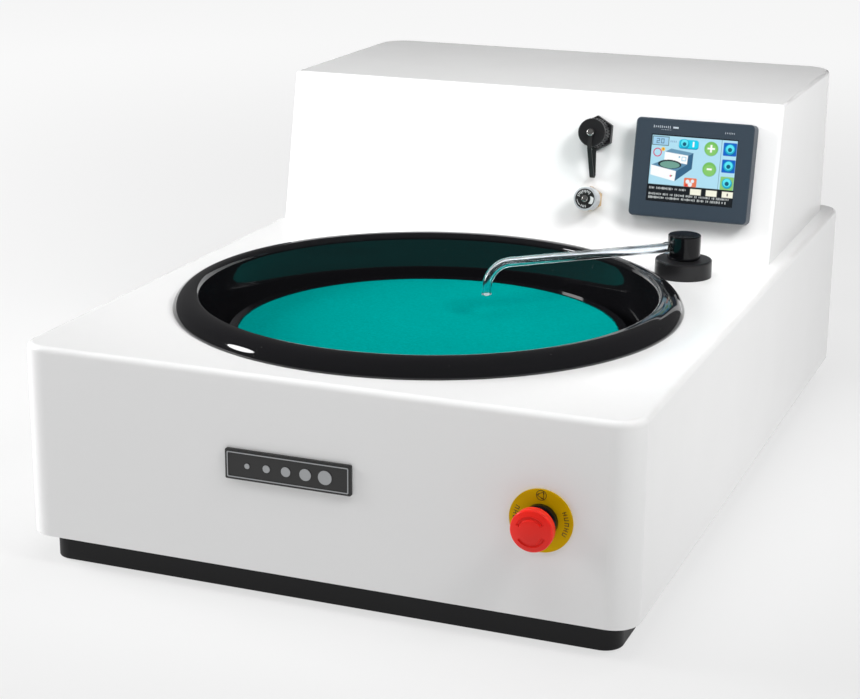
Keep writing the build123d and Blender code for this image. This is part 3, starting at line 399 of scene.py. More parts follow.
mouldedLooks = {
    "whiteShell": {"color": (0.86, 0.86, 0.86), "rough": 0.24, "tone": 0.012, "grain": 1.6, "bump": 0.000012,
                   "dust": 0.05, "shader": {"Coat Weight": 0.25, "Coat Roughness": 0.08}},
    "plugWhite": {"color": (0.82, 0.82, 0.82), "rough": 0.35, "tone": 0.02, "grain": 0.8, "dust": 0.05},
    "bowlBlack": {"color": (0.006, 0.006, 0.007), "rough": 0.045, "roughChange": 0.03, "tone": 0.2,
                  "grain": 6.0, "bump": 0.000006, "dust": 0.3},
    "satinBlack": {"color": (0.012, 0.012, 0.013), "rough": 0.34, "tone": 0.1, "grain": 0.5, "dust": 0.1,
                   "worn": (0.03, 0.03, 0.032), "wear": 0.15, "shader": {"Specular IOR Level": 0.4}},
    "glossBlack": {"color": (0.004, 0.004, 0.005), "rough": 0.1, "tone": 0.1, "grain": 1.2, "dust": 0.1,
                   "shader": {"Specular IOR Level": 0.3}},
    "frameBlack": {"color": (0.007, 0.007, 0.008), "rough": 0.5, "tone": 0.15, "grain": 0.7, "dust": 0.15,
                   "shader": {"Specular IOR Level": 0.25}},
    "rubberBlack": {"color": (0.014, 0.014, 0.014), "rough": 0.55, "tone": 0.15, "grain": 0.35, "dust": 0.3},
    "panelSlate": {"color": (0.033, 0.048, 0.066), "rough": 0.42, "tone": 0.04, "grain": 0.35,
                   "bump": 0.00002, "dust": 0.05, "shader": {"Specular IOR Level": 0.35}},
    "stopRed": {"color": (0.88, 0.022, 0.014), "rough": 0.34, "tone": 0.04, "grain": 0.9, "dust": 0.05,
                "shader": {"Specular IOR Level": 0.25}},
    "stopYellow": {"color": (0.64, 0.4, 0.0), "rough": 0.5, "tone": 0.03, "grain": 0.7, "dust": 0.05,
                   "shader": {"Specular IOR Level": 0.06}},
    "knobGrey": {"color": (0.46, 0.48, 0.5), "rough": 0.32, "tone": 0.03, "grain": 0.5, "dust": 0.1},
    "dialBlack": {"color": (0.012, 0.012, 0.012), "rough": 0.4, "tone": 0.1, "grain": 0.5, "dust": 0.1},
    "plateBlack": {"color": (0.018, 0.018, 0.018), "rough": 0.45, "tone": 0.1, "grain": 0.3, "dust": 0.2},
    "motorPaint": {"color": (0.05, 0.08, 0.11), "rough": 0.45, "tone": 0.1, "grain": 0.9, "dust": 0.4},
    "castGrey": {"color": (0.12, 0.125, 0.13), "rough": 0.6, "tone": 0.2, "grain": 1.2, "bump": 0.00015,
                 "dust": 0.4},
    "hoseGrey": {"color": (0.16, 0.165, 0.17), "rough": 0.45, "tone": 0.08, "grain": 0.7, "dust": 0.2},
    "greyPanel": {"color": (0.52, 0.53, 0.54), "rough": 0.4, "tone": 0.03, "grain": 0.9, "dust": 0.1},
    "screenGlass": {"color": (0.01, 0.012, 0.014), "rough": 0.12, "tone": 0.05, "grain": 1.0, "dust": 0.05},
}
metalLooks = {
    "zincSteel": {"color": (0.58, 0.59, 0.61), "rough": 0.38, "contrast": 0.3},
    "stainless": {"color": (0.7, 0.69, 0.67), "rough": 0.2, "contrast": 0.12},
    "aluminium": {"color": (0.72, 0.73, 0.74), "rough": 0.28, "contrast": 0.2},
    "brass": {"color": (0.78, 0.52, 0.22), "rough": 0.24, "contrast": 0.15},
    "trimMetal": {"color": (0.4, 0.41, 0.42), "rough": 0.42, "contrast": 0.2, "stretch": (0.05, 1.0, 1.0)},
}
finishes = {name: mouldedMaterial(name, look) for name, look in mouldedLooks.items()}
finishes.update({name: metalMaterial(name, look) for name, look in metalLooks.items()})


def clothMaterial():
    # short nap: teal with fibre-sized light and dark flecks and a fine rise and fall
    material, tree, shader = startMaterial("napCloth", {"Roughness": 0.95, "Specular IOR Level": 0.0})
    place = addNode(tree, "ShaderNodeTexCoord").outputs["Object"]
    fibre = addNode(tree, "ShaderNodeTexNoise", Vector=place, Scale=2200.0, Detail=3.0).outputs["Fac"]
    clump = addNode(tree, "ShaderNodeTexNoise", Vector=place, Scale=420.0, Detail=3.0).outputs["Fac"]
    slow = addNode(tree, "ShaderNodeTexNoise", Vector=place, Scale=14.0, Detail=2.0).outputs["Fac"]
    fibrePart = mathNode(tree, "MULTIPLY", fibre, 0.6)
    fleck = mathNode(tree, "ADD", fibrePart, mathNode(tree, "MULTIPLY", clump, 0.4))
    shade = rangeNode(tree, fleck, 0.3, 0.7)
    color = mixColor(tree, shade, (0.0, 0.19, 0.178, 1), (0.0, 0.27, 0.253, 1))
    color = mixColor(tree, rangeNode(tree, slow, 0.35, 0.65, 0.0, 0.25), color, (0.0, 0.216, 0.204, 1))
    tree.links.new(color, shader.inputs["Base Color"])
    addBump(tree, shader, fleck, 0.00015, 0.6)
    return material


def clearMaterial():
    # clear drawn tube: slightly frosted, with faint draw lines in its normal
    look = {"Transmission Weight": 1.0, "IOR": 1.4, "Roughness": 0.09, "Base Color": (0.93, 0.97, 1, 1)}
    material, tree, shader = startMaterial("clearTube", look)
    place = addNode(tree, "ShaderNodeTexCoord").outputs["Object"]
    wave = addNode(tree, "ShaderNodeTexNoise", Vector=place, Scale=160.0, Detail=2.0).outputs["Fac"]
    addBump(tree, shader, wave, 0.00004, 0.5)
    return material


def inkMaterial(name, look):
    # printed ink: slightly broken edge to edge, so the tone varies within a stroke
    material, tree, shader = startMaterial(name, {"Roughness": look["rough"], "Specular IOR Level": 0.3})
    place = addNode(tree, "ShaderNodeTexCoord").outputs["Object"]
    patch = addNode(tree, "ShaderNodeTexNoise", Vector=place, Scale=2600.0, Detail=3.0).outputs["Fac"]
    color = mixColor(tree, rangeNode(tree, patch, 0.3, 0.7), (*look["color"], 1), (*look["thin"], 1))
    tree.links.new(color, shader.inputs["Base Color"])
    return material


inkLooks = {
    "inkDark": {"color": (0.03, 0.018, 0.004), "thin": (0.06, 0.036, 0.006), "rough": 0.4},
    "inkWhite": {"color": (0.75, 0.76, 0.76), "thin": (0.55, 0.56, 0.56), "rough": 0.4},
    "inkPale": {"color": (0.52, 0.57, 0.62), "thin": (0.4, 0.45, 0.5), "rough": 0.4},
}
finishes.update({name: inkMaterial(name, look) for name, look in inkLooks.items()})


def screenMaterial():
    # lit display: painted colours from the piece's own attribute, with the fine grid of its cells
    material, tree, shader = startMaterial(
        "screenPicture", {"Roughness": 0.22, "Specular IOR Level": 0.35, "Emission Strength": 0.75}
    )
    picture = addNode(tree, "ShaderNodeAttribute", {"attribute_name": "pictureColor"}).outputs["Color"]
    place = addNode(tree, "ShaderNodeTexCoord").outputs["Object"]
    stripes = {"bands_direction": "X", "wave_profile": "SIN"}
    cells = addNode(tree, "ShaderNodeTexWave", stripes, Vector=place, Scale=620.0)
    dim = rangeNode(tree, cells.outputs["Fac"], 0.0, 1.0, 0.88, 1.0)
    scaled = addNode(tree, "ShaderNodeVectorMath", {"operation": "SCALE"})
    tree.links.new(picture, scaled.inputs[0])
    tree.links.new(dim, scaled.inputs["Scale"])
    faded = mixColor(tree, 0.75, scaled.outputs[0], (0.01, 0.012, 0.014, 1))
    tree.links.new(faded, shader.inputs["Base Color"])
    tree.links.new(scaled.outputs[0], shader.inputs["Emission Color"])
    return material


finishes["screenPicture"] = screenMaterial()
finishes["napCloth"] = clothMaterial()
finishes["clearTube"] = clearMaterial()
print("stage 3: finishes made")


def gridMesh(name, points, closeAcross=False, closeAlong=False, flip=False, smooth=True):
    # joins a grid of points, rows by columns, into quads; either direction may close on itself
    rows, columns = points.shape[:2]
    index = np.arange(rows * columns).reshape(rows, columns)
    if closeAlong:
        index = np.vstack([index, index[:1]])
    if closeAcross:
        index = np.hstack([index, index[:, :1]])
    quads = np.stack([index[:-1, :-1], index[:-1, 1:], index[1:, 1:], index[1:, :-1]], axis=-1).reshape(-1, 4)
    if flip:
        quads = quads[:, ::-1]
    return meshFrom(name, points.reshape(-1, 3), quads, smooth)


def meshFrom(name, points, faces, smooth=True):
    mesh = bpy.data.meshes.new(name)
    mesh.from_pydata(np.asarray(points, dtype=float).tolist(), [], np.asarray(faces).tolist())
    mesh.polygons.foreach_set("use_smooth", np.full(len(mesh.polygons), smooth))
    mesh.update()
    return mesh


def turnOutward(mesh, merge=0.0):
    # closes seams and poles where asked, then points every face away from the solid
    tidy = bmesh.new()
    tidy.from_mesh(mesh)
    if merge:
        bmesh.ops.remove_doubles(tidy, verts=tidy.verts, dist=merge)
    bmesh.ops.recalc_face_normals(tidy, faces=tidy.faces)
    tidy.to_mesh(mesh)
    tidy.free()


def placePiece(name, mesh, finish, body, replaced=None):
    mesh.materials.append(finish)
    piece = bpy.data.objects.new(name, mesh)
    bpy.context.scene.collection.objects.link(piece)
    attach(piece, body)
    if replaced:
        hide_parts(replaced)
    return piece


clothLook = {
    "rings": 90,
    "steps": 256,
    "crowding": 0.8,  # below 1 the rings stand closer together towards the rim
    "edgeRound": 0.0006,
    "edgePoints": 9,
    "unevenness": 0.00007,
    "wavePitches": (0.05, 0.031, 0.019),
    "seed": 7,
}


def makeCloth(look):
    # profile from the centre of the top, out to the rim, round the edge and back in underneath;
    # each profile point is turned round the axis, and the top is lifted by a few slow sine waves
    radius = (clothHigh.x - clothLow.x) / 2
    top, bottom = clothHigh.z, clothLow.z
    edge = look["edgeRound"]
    flat = np.linspace(0.0, 1.0, look["rings"]) ** look["crowding"] * (radius - edge)
    turn = np.linspace(90, -90, look["edgePoints"])[1:-1] * math.pi / 180
    middle = (top + bottom) / 2
    roundR = radius - edge + edge * np.cos(turn)
    roundZ = middle + (top - middle) * np.sin(turn)
    under = flat[::-6]
    profileR = np.concatenate([flat, roundR, under])
    profileZ = np.concatenate([np.full(len(flat), top), roundZ, np.full(len(under), bottom)])
    angle = np.linspace(0, 2 * math.pi, look["steps"], endpoint=False)
    x = profileR[:, None] * np.cos(angle)
    y = profileR[:, None] * np.sin(angle)
    z = np.repeat(profileZ[:, None], look["steps"], axis=1)
    dice = np.random.default_rng(look["seed"])
    wave = np.zeros_like(z)
    for pitch in look["wavePitches"]:
        heading = dice.uniform(0, 2 * math.pi)
        travel = x * math.cos(heading) + y * math.sin(heading)
        wave += np.sin(travel * 2 * math.pi / pitch + dice.uniform(0, 6))
    onTop = np.arange(len(profileR)) < len(flat)
    z -= np.where(onTop[:, None], (wave / 3 + 1) * 0.5 * look["unevenness"], 0)
    points = np.stack([x + bowlAxis.x, y + bowlAxis.y, z], axis=-1)
    mesh = gridMesh("clothDisc", points, closeAcross=True, flip=True)
    turnOutward(mesh, merge=1e-7)
    piece = placePiece("clothDisc", mesh, finishes["napCloth"], "platen", "polishing_cloth")


makeCloth(clothLook)

rimLook = {
    # places in the bowl's section, in millimetres from its axis and above the deck
    "lip": 178.5,
    "lipHeight": 13.0,
    "rimBase": 1.6,
    "shoulder": (6.05, 10.0),  # inside the rim, above the deck
    "crest": 5.0,  # outside the lip
    "lipMiddle": (1.4, 1.2),
    "lipDrop": 4.0,
    "draft": 3.5,
    "foot": -50.0,
    "overPoints": 40,
    "lipPoints": 16,
    "wallPoints": 30,
    "steps": 512,
    "skin": 0.06,
    "depth": 0.3,
}


def arcThrough(first, middle, last, count):
    # circle through three points of the section, as evenly turned points from the first to the last
    (ax, ay), (bx, by), (cx, cy) = first, middle, last
    scale = 2 * (ax * (by - cy) + bx * (cy - ay) + cx * (ay - by))
    x = ((ax**2 + ay**2) * (by - cy) + (bx**2 + by**2) * (cy - ay) + (cx**2 + cy**2) * (ay - by)) / scale
    y = ((ax**2 + ay**2) * (cx - bx) + (bx**2 + by**2) * (ax - cx) + (cx**2 + cy**2) * (bx - ax)) / scale
    start = math.atan2(ay - y, ax - x)
    end = math.atan2(cy - y, cx - x)
    turn = np.linspace(start, end, count)
    radius = math.hypot(ax - x, ay - y)
    return np.stack([x + radius * np.cos(turn), y + radius * np.sin(turn)], axis=1)


def makeRim(look):
    # glossy skin of the bowl: out of the deck, over the convex rim, round the lip and down the inner wall;
    # the section is moved out by the skin along its own normal, and back inside the wall for its underside
    rim = (bowlHigh.x - bowlLow.x) / 2 / mm
    lip, top = look["lip"], look["lipHeight"]
    crest = (lip + look["crest"], top)
    lipLow = top - look["lipDrop"]
    shoulder = (rim - look["shoulder"][0], look["shoulder"][1])
    lipMiddle = (lip + look["lipMiddle"][0], top - look["lipMiddle"][1])
    over = arcThrough((rim, look["rimBase"]), shoulder, crest, look["overPoints"])
    inward = arcThrough(crest, lipMiddle, (lip, lipLow), look["lipPoints"])
    wallAcross = np.linspace(lip, lip - look["draft"], look["wallPoints"])
    wallHeight = np.linspace(lipLow, look["foot"], look["wallPoints"])
    down = np.stack([wallAcross, wallHeight], axis=1)
    section = np.vstack([[(rim, 0.2)], over, inward[1:], down[1:]])
    ahead = np.gradient(section, axis=0)
    ahead /= np.linalg.norm(ahead, axis=1)[:, None]
    outward = np.stack([ahead[:, 1], -ahead[:, 0]], axis=1)
    loop = np.vstack([section + outward * look["skin"], (section - outward * look["depth"])[::-1]]) * mm
    angle = np.linspace(0, 2 * math.pi, look["steps"], endpoint=False)
    x = bowlAxis.x + loop[:, :1] * np.cos(angle)
    y = bowlAxis.y + loop[:, :1] * np.sin(angle)
    z = bowlAxis.z + np.repeat(loop[:, 1:], look["steps"], axis=1)
    mesh = gridMesh("bowlSkin", np.stack([x, y, z], axis=-1), closeAcross=True, closeAlong=True)
    turnOutward(mesh)
    placePiece("bowlSkin", mesh, finishes["bowlBlack"], "base")


makeRim(rimLook)

spoutLook = {
    "outer": 4.0,
    "bore": 2.5,
    "bend": 20.0,
    "inset": 4.2,  # from the column's axis to the tube's inner end
    "around": 40,
    "runPoints": 60,
    "bendPoints": 26,
    "dropPoints": 6,
    "lipPoints": 8,
    "collar": 1.1,
    "collarLength": 5.0,
    "tipRound": 0.5,
}


def makeSpout(look):
    # centre line: straight out from the column, a quarter bend of the given radius, then down to the tip;
    # wall: outer circle forwards along the line, a rounded lip, and the bore back again
    low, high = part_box("spout_tube")
    columnLow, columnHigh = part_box("spout_column")
    pivot = Vector(((columnLow.x + columnHigh.x) / 2, (columnLow.y + columnHigh.y) / 2, 0))
    outer = look["outer"] * mm
    inner = look["bore"] * mm
    bend = look["bend"] * mm
    tubeZ = high.z - outer
    tipZ = low.z
    # the tip's outermost points lie on the box's low corner, so the tip's axis stands one radius inside it
    tip = Vector((low.x + outer, low.y + outer, 0))
    heading = (tip - pivot).normalized()
    reach = (tip - pivot).length
    start = look["inset"] * mm
    run = np.linspace(start, reach - bend, look["runPoints"])
    sweepTurn = np.linspace(0, math.pi / 2, look["bendPoints"])[1:]
    drop = np.linspace(tubeZ - bend, tipZ, look["dropPoints"])[1:]
    along = np.concatenate([run, reach - bend + bend * np.sin(sweepTurn), np.full(len(drop), reach)])
    height = np.concatenate([np.full(len(run), tubeZ), tubeZ - bend + bend * np.cos(sweepTurn), drop])
    tilt = np.concatenate([np.zeros(len(run)), sweepTurn, np.full(len(drop), math.pi / 2)])
    # the joint collar is a smooth swelling of the outer wall near the column
    travel = np.concatenate([[0], np.cumsum(np.hypot(np.diff(along), np.diff(height)))]) + start
    columnEdge = (columnHigh.x - columnLow.x) / 2
    inCollar = np.clip((travel - columnEdge) / (look["collarLength"] * mm), 0, 1)
    swelling = look["collar"] * mm * np.sin(inCollar * math.pi) ** 0.6
    lip = look["tipRound"] * mm
    lipTurn = np.linspace(0, math.pi, look["lipPoints"])[1:-1]
    middle, half = (outer + inner) / 2, (outer - inner) / 2
    radii = np.concatenate([outer + swelling, middle + half * np.cos(lipTurn), np.full(len(along), inner)])
    lipShift = lip * np.sin(lipTurn)
    alongAll = np.concatenate([along, np.full(len(lipTurn), along[-1]), along[::-1]])
    heightAll = np.concatenate([height, np.full(len(lipTurn), height[-1]) - lipShift, height[::-1]])
    tiltAll = np.concatenate([tilt, np.full(len(lipTurn), tilt[-1]), tilt[::-1]])
    angle = np.linspace(0, 2 * math.pi, look["around"], endpoint=False)
    # across the tube: one direction is level and square to the heading, the other leans with the path
    level = np.array([-heading.y, heading.x, 0.0])
    forward = np.array([heading.x, heading.y, 0.0])
    lean = np.sin(tiltAll)[:, None] * forward + np.cos(tiltAll)[:, None] * np.array([0, 0, 1.0])
    upright = np.array([0, 0, 1.0])
    centre = np.array([pivot.x, pivot.y, 0]) + alongAll[:, None] * forward + heightAll[:, None] * upright
    ring = np.cos(angle)[None, :, None] * level + np.sin(angle)[None, :, None] * lean[:, None, :]
    points = centre[:, None, :] + radii[:, None, None] * ring
    points[..., 2] = np.maximum(points[..., 2], tipZ)
    mesh = gridMesh("spoutGlass", points, closeAcross=True, closeAlong=True)
    turnOutward(mesh)
    placePiece("spoutGlass", mesh, finishes["clearTube"], "spout", "spout_tube")


makeSpout(spoutLook)


def strokeShell(line, width, rise):
    # a polyline in a face's own plane becomes a closed ribbon: left and right of the line, low and high
    line = np.asarray(line, dtype=float)
    ahead = np.gradient(line, axis=0)
    ahead /= np.linalg.norm(ahead, axis=1)[:, None]
    side = np.stack([-ahead[:, 1], ahead[:, 0]], axis=1) * width / 2
    count = len(line)
    low, high = np.zeros((count, 1)), np.full((count, 1), rise)
    corners = [np.hstack([line + side, low]), np.hstack([line + side, high])]
    corners += [np.hstack([line - side, high]), np.hstack([line - side, low])]
    points = np.stack(corners, axis=1)
    index = np.arange(count * 4).reshape(count, 4)
    turned = np.roll(index, -1, axis=1)
    walls = np.stack([index[:-1], turned[:-1], turned[1:], index[1:]], axis=-1).reshape(-1, 4)
    ends = np.array([index[0][::-1], index[-1]])
    return points.reshape(-1, 3), np.vstack([walls, ends])


def arcLine(x, y, radius, start, end, steps):
    turn = np.radians(np.linspace(start, end, steps))
    return np.stack([x + radius * np.cos(turn), y + radius * np.sin(turn)], axis=1)


def barLine(x, y, angle, length):
    # straight stroke centred on x, y and pointing along the angle
    way = np.array([math.cos(math.radians(angle)), math.sin(math.radians(angle))])
    return np.array([x, y]) + np.outer(np.linspace(-0.5, 0.5, 3) * length, way)


def spokeLine(angle, inner, outer):
    way = np.array([math.cos(math.radians(angle)), math.sin(math.radians(angle))])
    return np.outer(np.linspace(inner, outer, 3), way)


def makeMarks(name, strokes, place, finish, body, rise=0.06):
    # place turns a point across, up and out, in millimetres, into the object's frame
    points, faces, base = [], [], 0
    for line, width in strokes:
        shell, quads = strokeShell(line, width, rise)
        points.append(shell)
        faces.append(quads + base)
        base += len(shell)
    flat = np.vstack(points)
    origin = np.array(place(0, 0, 0))
    across = np.array(place(1, 0, 0)) - origin
    upward = np.array(place(0, 1, 0)) - origin
    outward = np.array(place(0, 0, 1)) - origin
    solid = origin + flat[:, :1] * across + flat[:, 1:2] * upward + flat[:, 2:] * outward
    mesh = meshFrom(name, solid, np.vstack(faces), smooth=False)
    turnOutward(mesh)
    placePiece(name, mesh, finish, body)


legendLow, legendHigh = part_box("estop_legend")
legendCentre = Vector(((legendLow.x + legendHigh.x) / 2, legendLow.y, (legendLow.z + legendHigh.z) / 2))
legendLook = {
    "symbol": 18.2,
    "symbolRadius": 3.5,
    "line": 0.42,
    "markRadius": 18.2,
    "markLength": 3.2,
    "markWidth": 0.5,
    "barb": 0.9,
    "rows": (-27, 27, 10),  # first and last angle of a row of marks, and how many
}


def onLegend(x, up, out):
    return legendCentre + Vector((x * mm, -out * mm, up * mm))


def legendStrokes(look):
    # a ringed three-arrow sign at the top, and rows of short plain bars down each side
    line, sign = look["line"], look["symbolRadius"]
    strokes = [(arcLine(0, look["symbol"], sign, 0, 360, 40), line)]
    for turn in (60, 180, 300):
        way = np.radians([turn, turn + 120])
        ends = np.stack([np.cos(way), np.sin(way)], axis=1) * sign * 0.9 + np.array([0, look["symbol"]])
        strokes.append((np.linspace(ends[0], ends[1], 4), line))
        barb = 0.25 * ends[0] + 0.75 * ends[1]
        strokes.append((barLine(barb[0], barb[1], turn + 150, look["barb"]), look["barb"]))
    inner, outer = look["markRadius"] - look["markLength"] / 2, look["markRadius"] + look["markLength"] / 2
    for side in (0, 180):
        for step, angle in enumerate(np.linspace(*look["rows"]) + side):
            strokes.append((spokeLine(angle, inner, outer), look["markWidth"]))
            if step % 2 == 0:
                radius = (inner + 0.3, look["markRadius"], outer - 0.3)[step // 2 % 3]
                strokes.append((arcLine(0, 0, radius, angle, angle + 6, 6), look["markWidth"]))
    return strokes


makeMarks("legendPrint", legendStrokes(legendLook), onLegend, finishes["inkDark"], "base")

dialLook = {
    "across": 61.5,
    "up": 43.0,
    "out": 20.2,
    "outer": 8.0,
    "ticks": (52, 160, 10),  # first and last angle, and how many
    "shortTick": 2.3,
    "longTick": 3.2,
    "tickLine": 0.55,
    "sweeps": (5.4, 7.5, 4),  # first and last radius, and how many
    "sweepLine": 0.75,
    "foot": (6.9, 188, 236),  # radius, first and last angle
    "footLine": 0.4,
    "footTicks": (246, 258, 268, 280),
}


def onDial(x, up, out):
    return onFace(dialLook["across"] + x, dialLook["up"] + up, dialLook["out"] + out)


def dialStrokes(look):
    # ticks along the top, a tapering arc on the right and a finer arc at the foot
    strokes = []
    outer = look["outer"]
    for step, angle in enumerate(np.linspace(*look["ticks"])):
        inner = outer - (look["shortTick"] if step % 3 else look["longTick"])
        strokes.append((spokeLine(angle, inner, outer - 0.4), look["tickLine"]))
    for step, radius in enumerate(np.linspace(*look["sweeps"])):
        strokes.append((arcLine(0, 0, radius, -46 + 4 * step, 26 - 5 * step, 16), look["sweepLine"]))
    strokes.append((arcLine(0, 0, *look["foot"], 16), look["footLine"]))
    for angle in look["footTicks"]:
        strokes.append((spokeLine(angle, 5.6, outer - 0.4), 0.5))
    return strokes


makeMarks("dialPrint", dialStrokes(dialLook), onDial, finishes["inkWhite"], "water_knob")

bezelLook = {
    "across": 151.7,
    "up": 74.7,
    "out": 16.0,
    "row": 34.8,
    "bar": (-17.0, 4.6, 1.5),  # across, length and width
    "dashStart": -36.0,
    "dashPitch": 1.75,
    "dashTalls": (2.2, 1.5, 1.5, 2.0),
    "underStart": -29.0,
    "underDrop": 2.3,
    "rightStart": 26.0,
    "rightDrop": 1.4,
    "rightTalls": (1.7, 1.2, 1.4),
    "finePitch": 1.5,
}


def onBezel(x, up, out):
    return onFace(bezelLook["across"] + x, bezelLook["up"] + up, bezelLook["out"] + out)


def bezelStrokes(look):
    # a row of fine dashes with one broad bar at the left, and a shorter row at the right
    row, fine = look["row"], look["finePitch"]
    across, length, width = look["bar"]
    strokes = [(barLine(across, row, 0, length), width)]
    for step in range(9):
        tall = look["dashTalls"][step % 4]
        strokes.append((barLine(look["dashStart"] + look["dashPitch"] * step, row, 90, tall), 0.55))
    for step in range(6):
        strokes.append((barLine(look["underStart"] + fine * step, row - look["underDrop"], 0, 0.8), 0.35))
    for step in range(6):
        tall = look["rightTalls"][step % 3]
        strokes.append((barLine(look["rightStart"] + fine * step, row - look["rightDrop"], 90, tall), 0.4))
    return strokes


makeMarks("bezelPrint", bezelStrokes(bezelLook), onBezel, finishes["inkPale"], "base")
print("stage 4: cloth, spout and printed marks")

screenLook = {
    "width": 74.6,
    "height": 56.6,
    "columns": 230,
    "rows": 174,
    "out": 15.6,
    "thickness": 0.1,
    "soft": 0.16,
}


def screenTint(red, green, blue):
    # display values from 0 to 255 turned into linear light
    value = np.array([red, green, blue]) / 255
    return np.where(value <= 0.04045, value / 12.92, ((value + 0.055) / 1.055) ** 2.4)


def discShape(u, v, x, y, radius, squash=1.0):
    # distance inside a disc, or an ellipse flattened by squash
    return radius - np.hypot(u - x, (v - y) / squash)


def boxShape(u, v, left, right, top, bottom, corner=0.0):
    # distance inside a box with rounded corners
    x = np.abs(u - (left + right) / 2) - (right - left) / 2 + corner
    y = np.abs(v - (top + bottom) / 2) - (bottom - top) / 2 + corner
    return corner - np.hypot(np.maximum(x, 0), np.maximum(y, 0)) - np.minimum(np.maximum(x, y), 0)


def planeShape(u, v, corners):
    # distance inside a convex outline whose corners run clockwise, with v measured downwards
    inside = np.full(u.shape, 1e3)
    for (x0, y0), (x1, y1) in zip(corners, corners[1:] + corners[:1]):
        length = math.hypot(x1 - x0, y1 - y0)
        inside = np.minimum(inside, ((x1 - x0) * (v - y0) - (y1 - y0) * (u - x0)) / length)
    return inside


def digitBars(number, x, y, wide, tall):
    # seven-bar digits as boxes: left, right, top, bottom
    table = {"0": "abcdef", "2": "abged"}
    thick = wide * 0.2
    boxes = []
    for place, digit in enumerate(number):
        left = x + place * wide * 1.45
        bars = {
            "a": (left, left + wide, y, y + thick),
            "g": (left, left + wide, y + (tall - thick) / 2, y + (tall + thick) / 2),
            "d": (left, left + wide, y + tall - thick, y + tall),
            "f": (left, left + thick, y, y + tall / 2),
            "b": (left + wide - thick, left + wide, y, y + tall / 2),
            "e": (left, left + thick, y + tall / 2, y + tall),
            "c": (left + wide - thick, left + wide, y + tall / 2, y + tall),
        }
        boxes += [bars[bar] for bar in table[digit]]
    return boxes


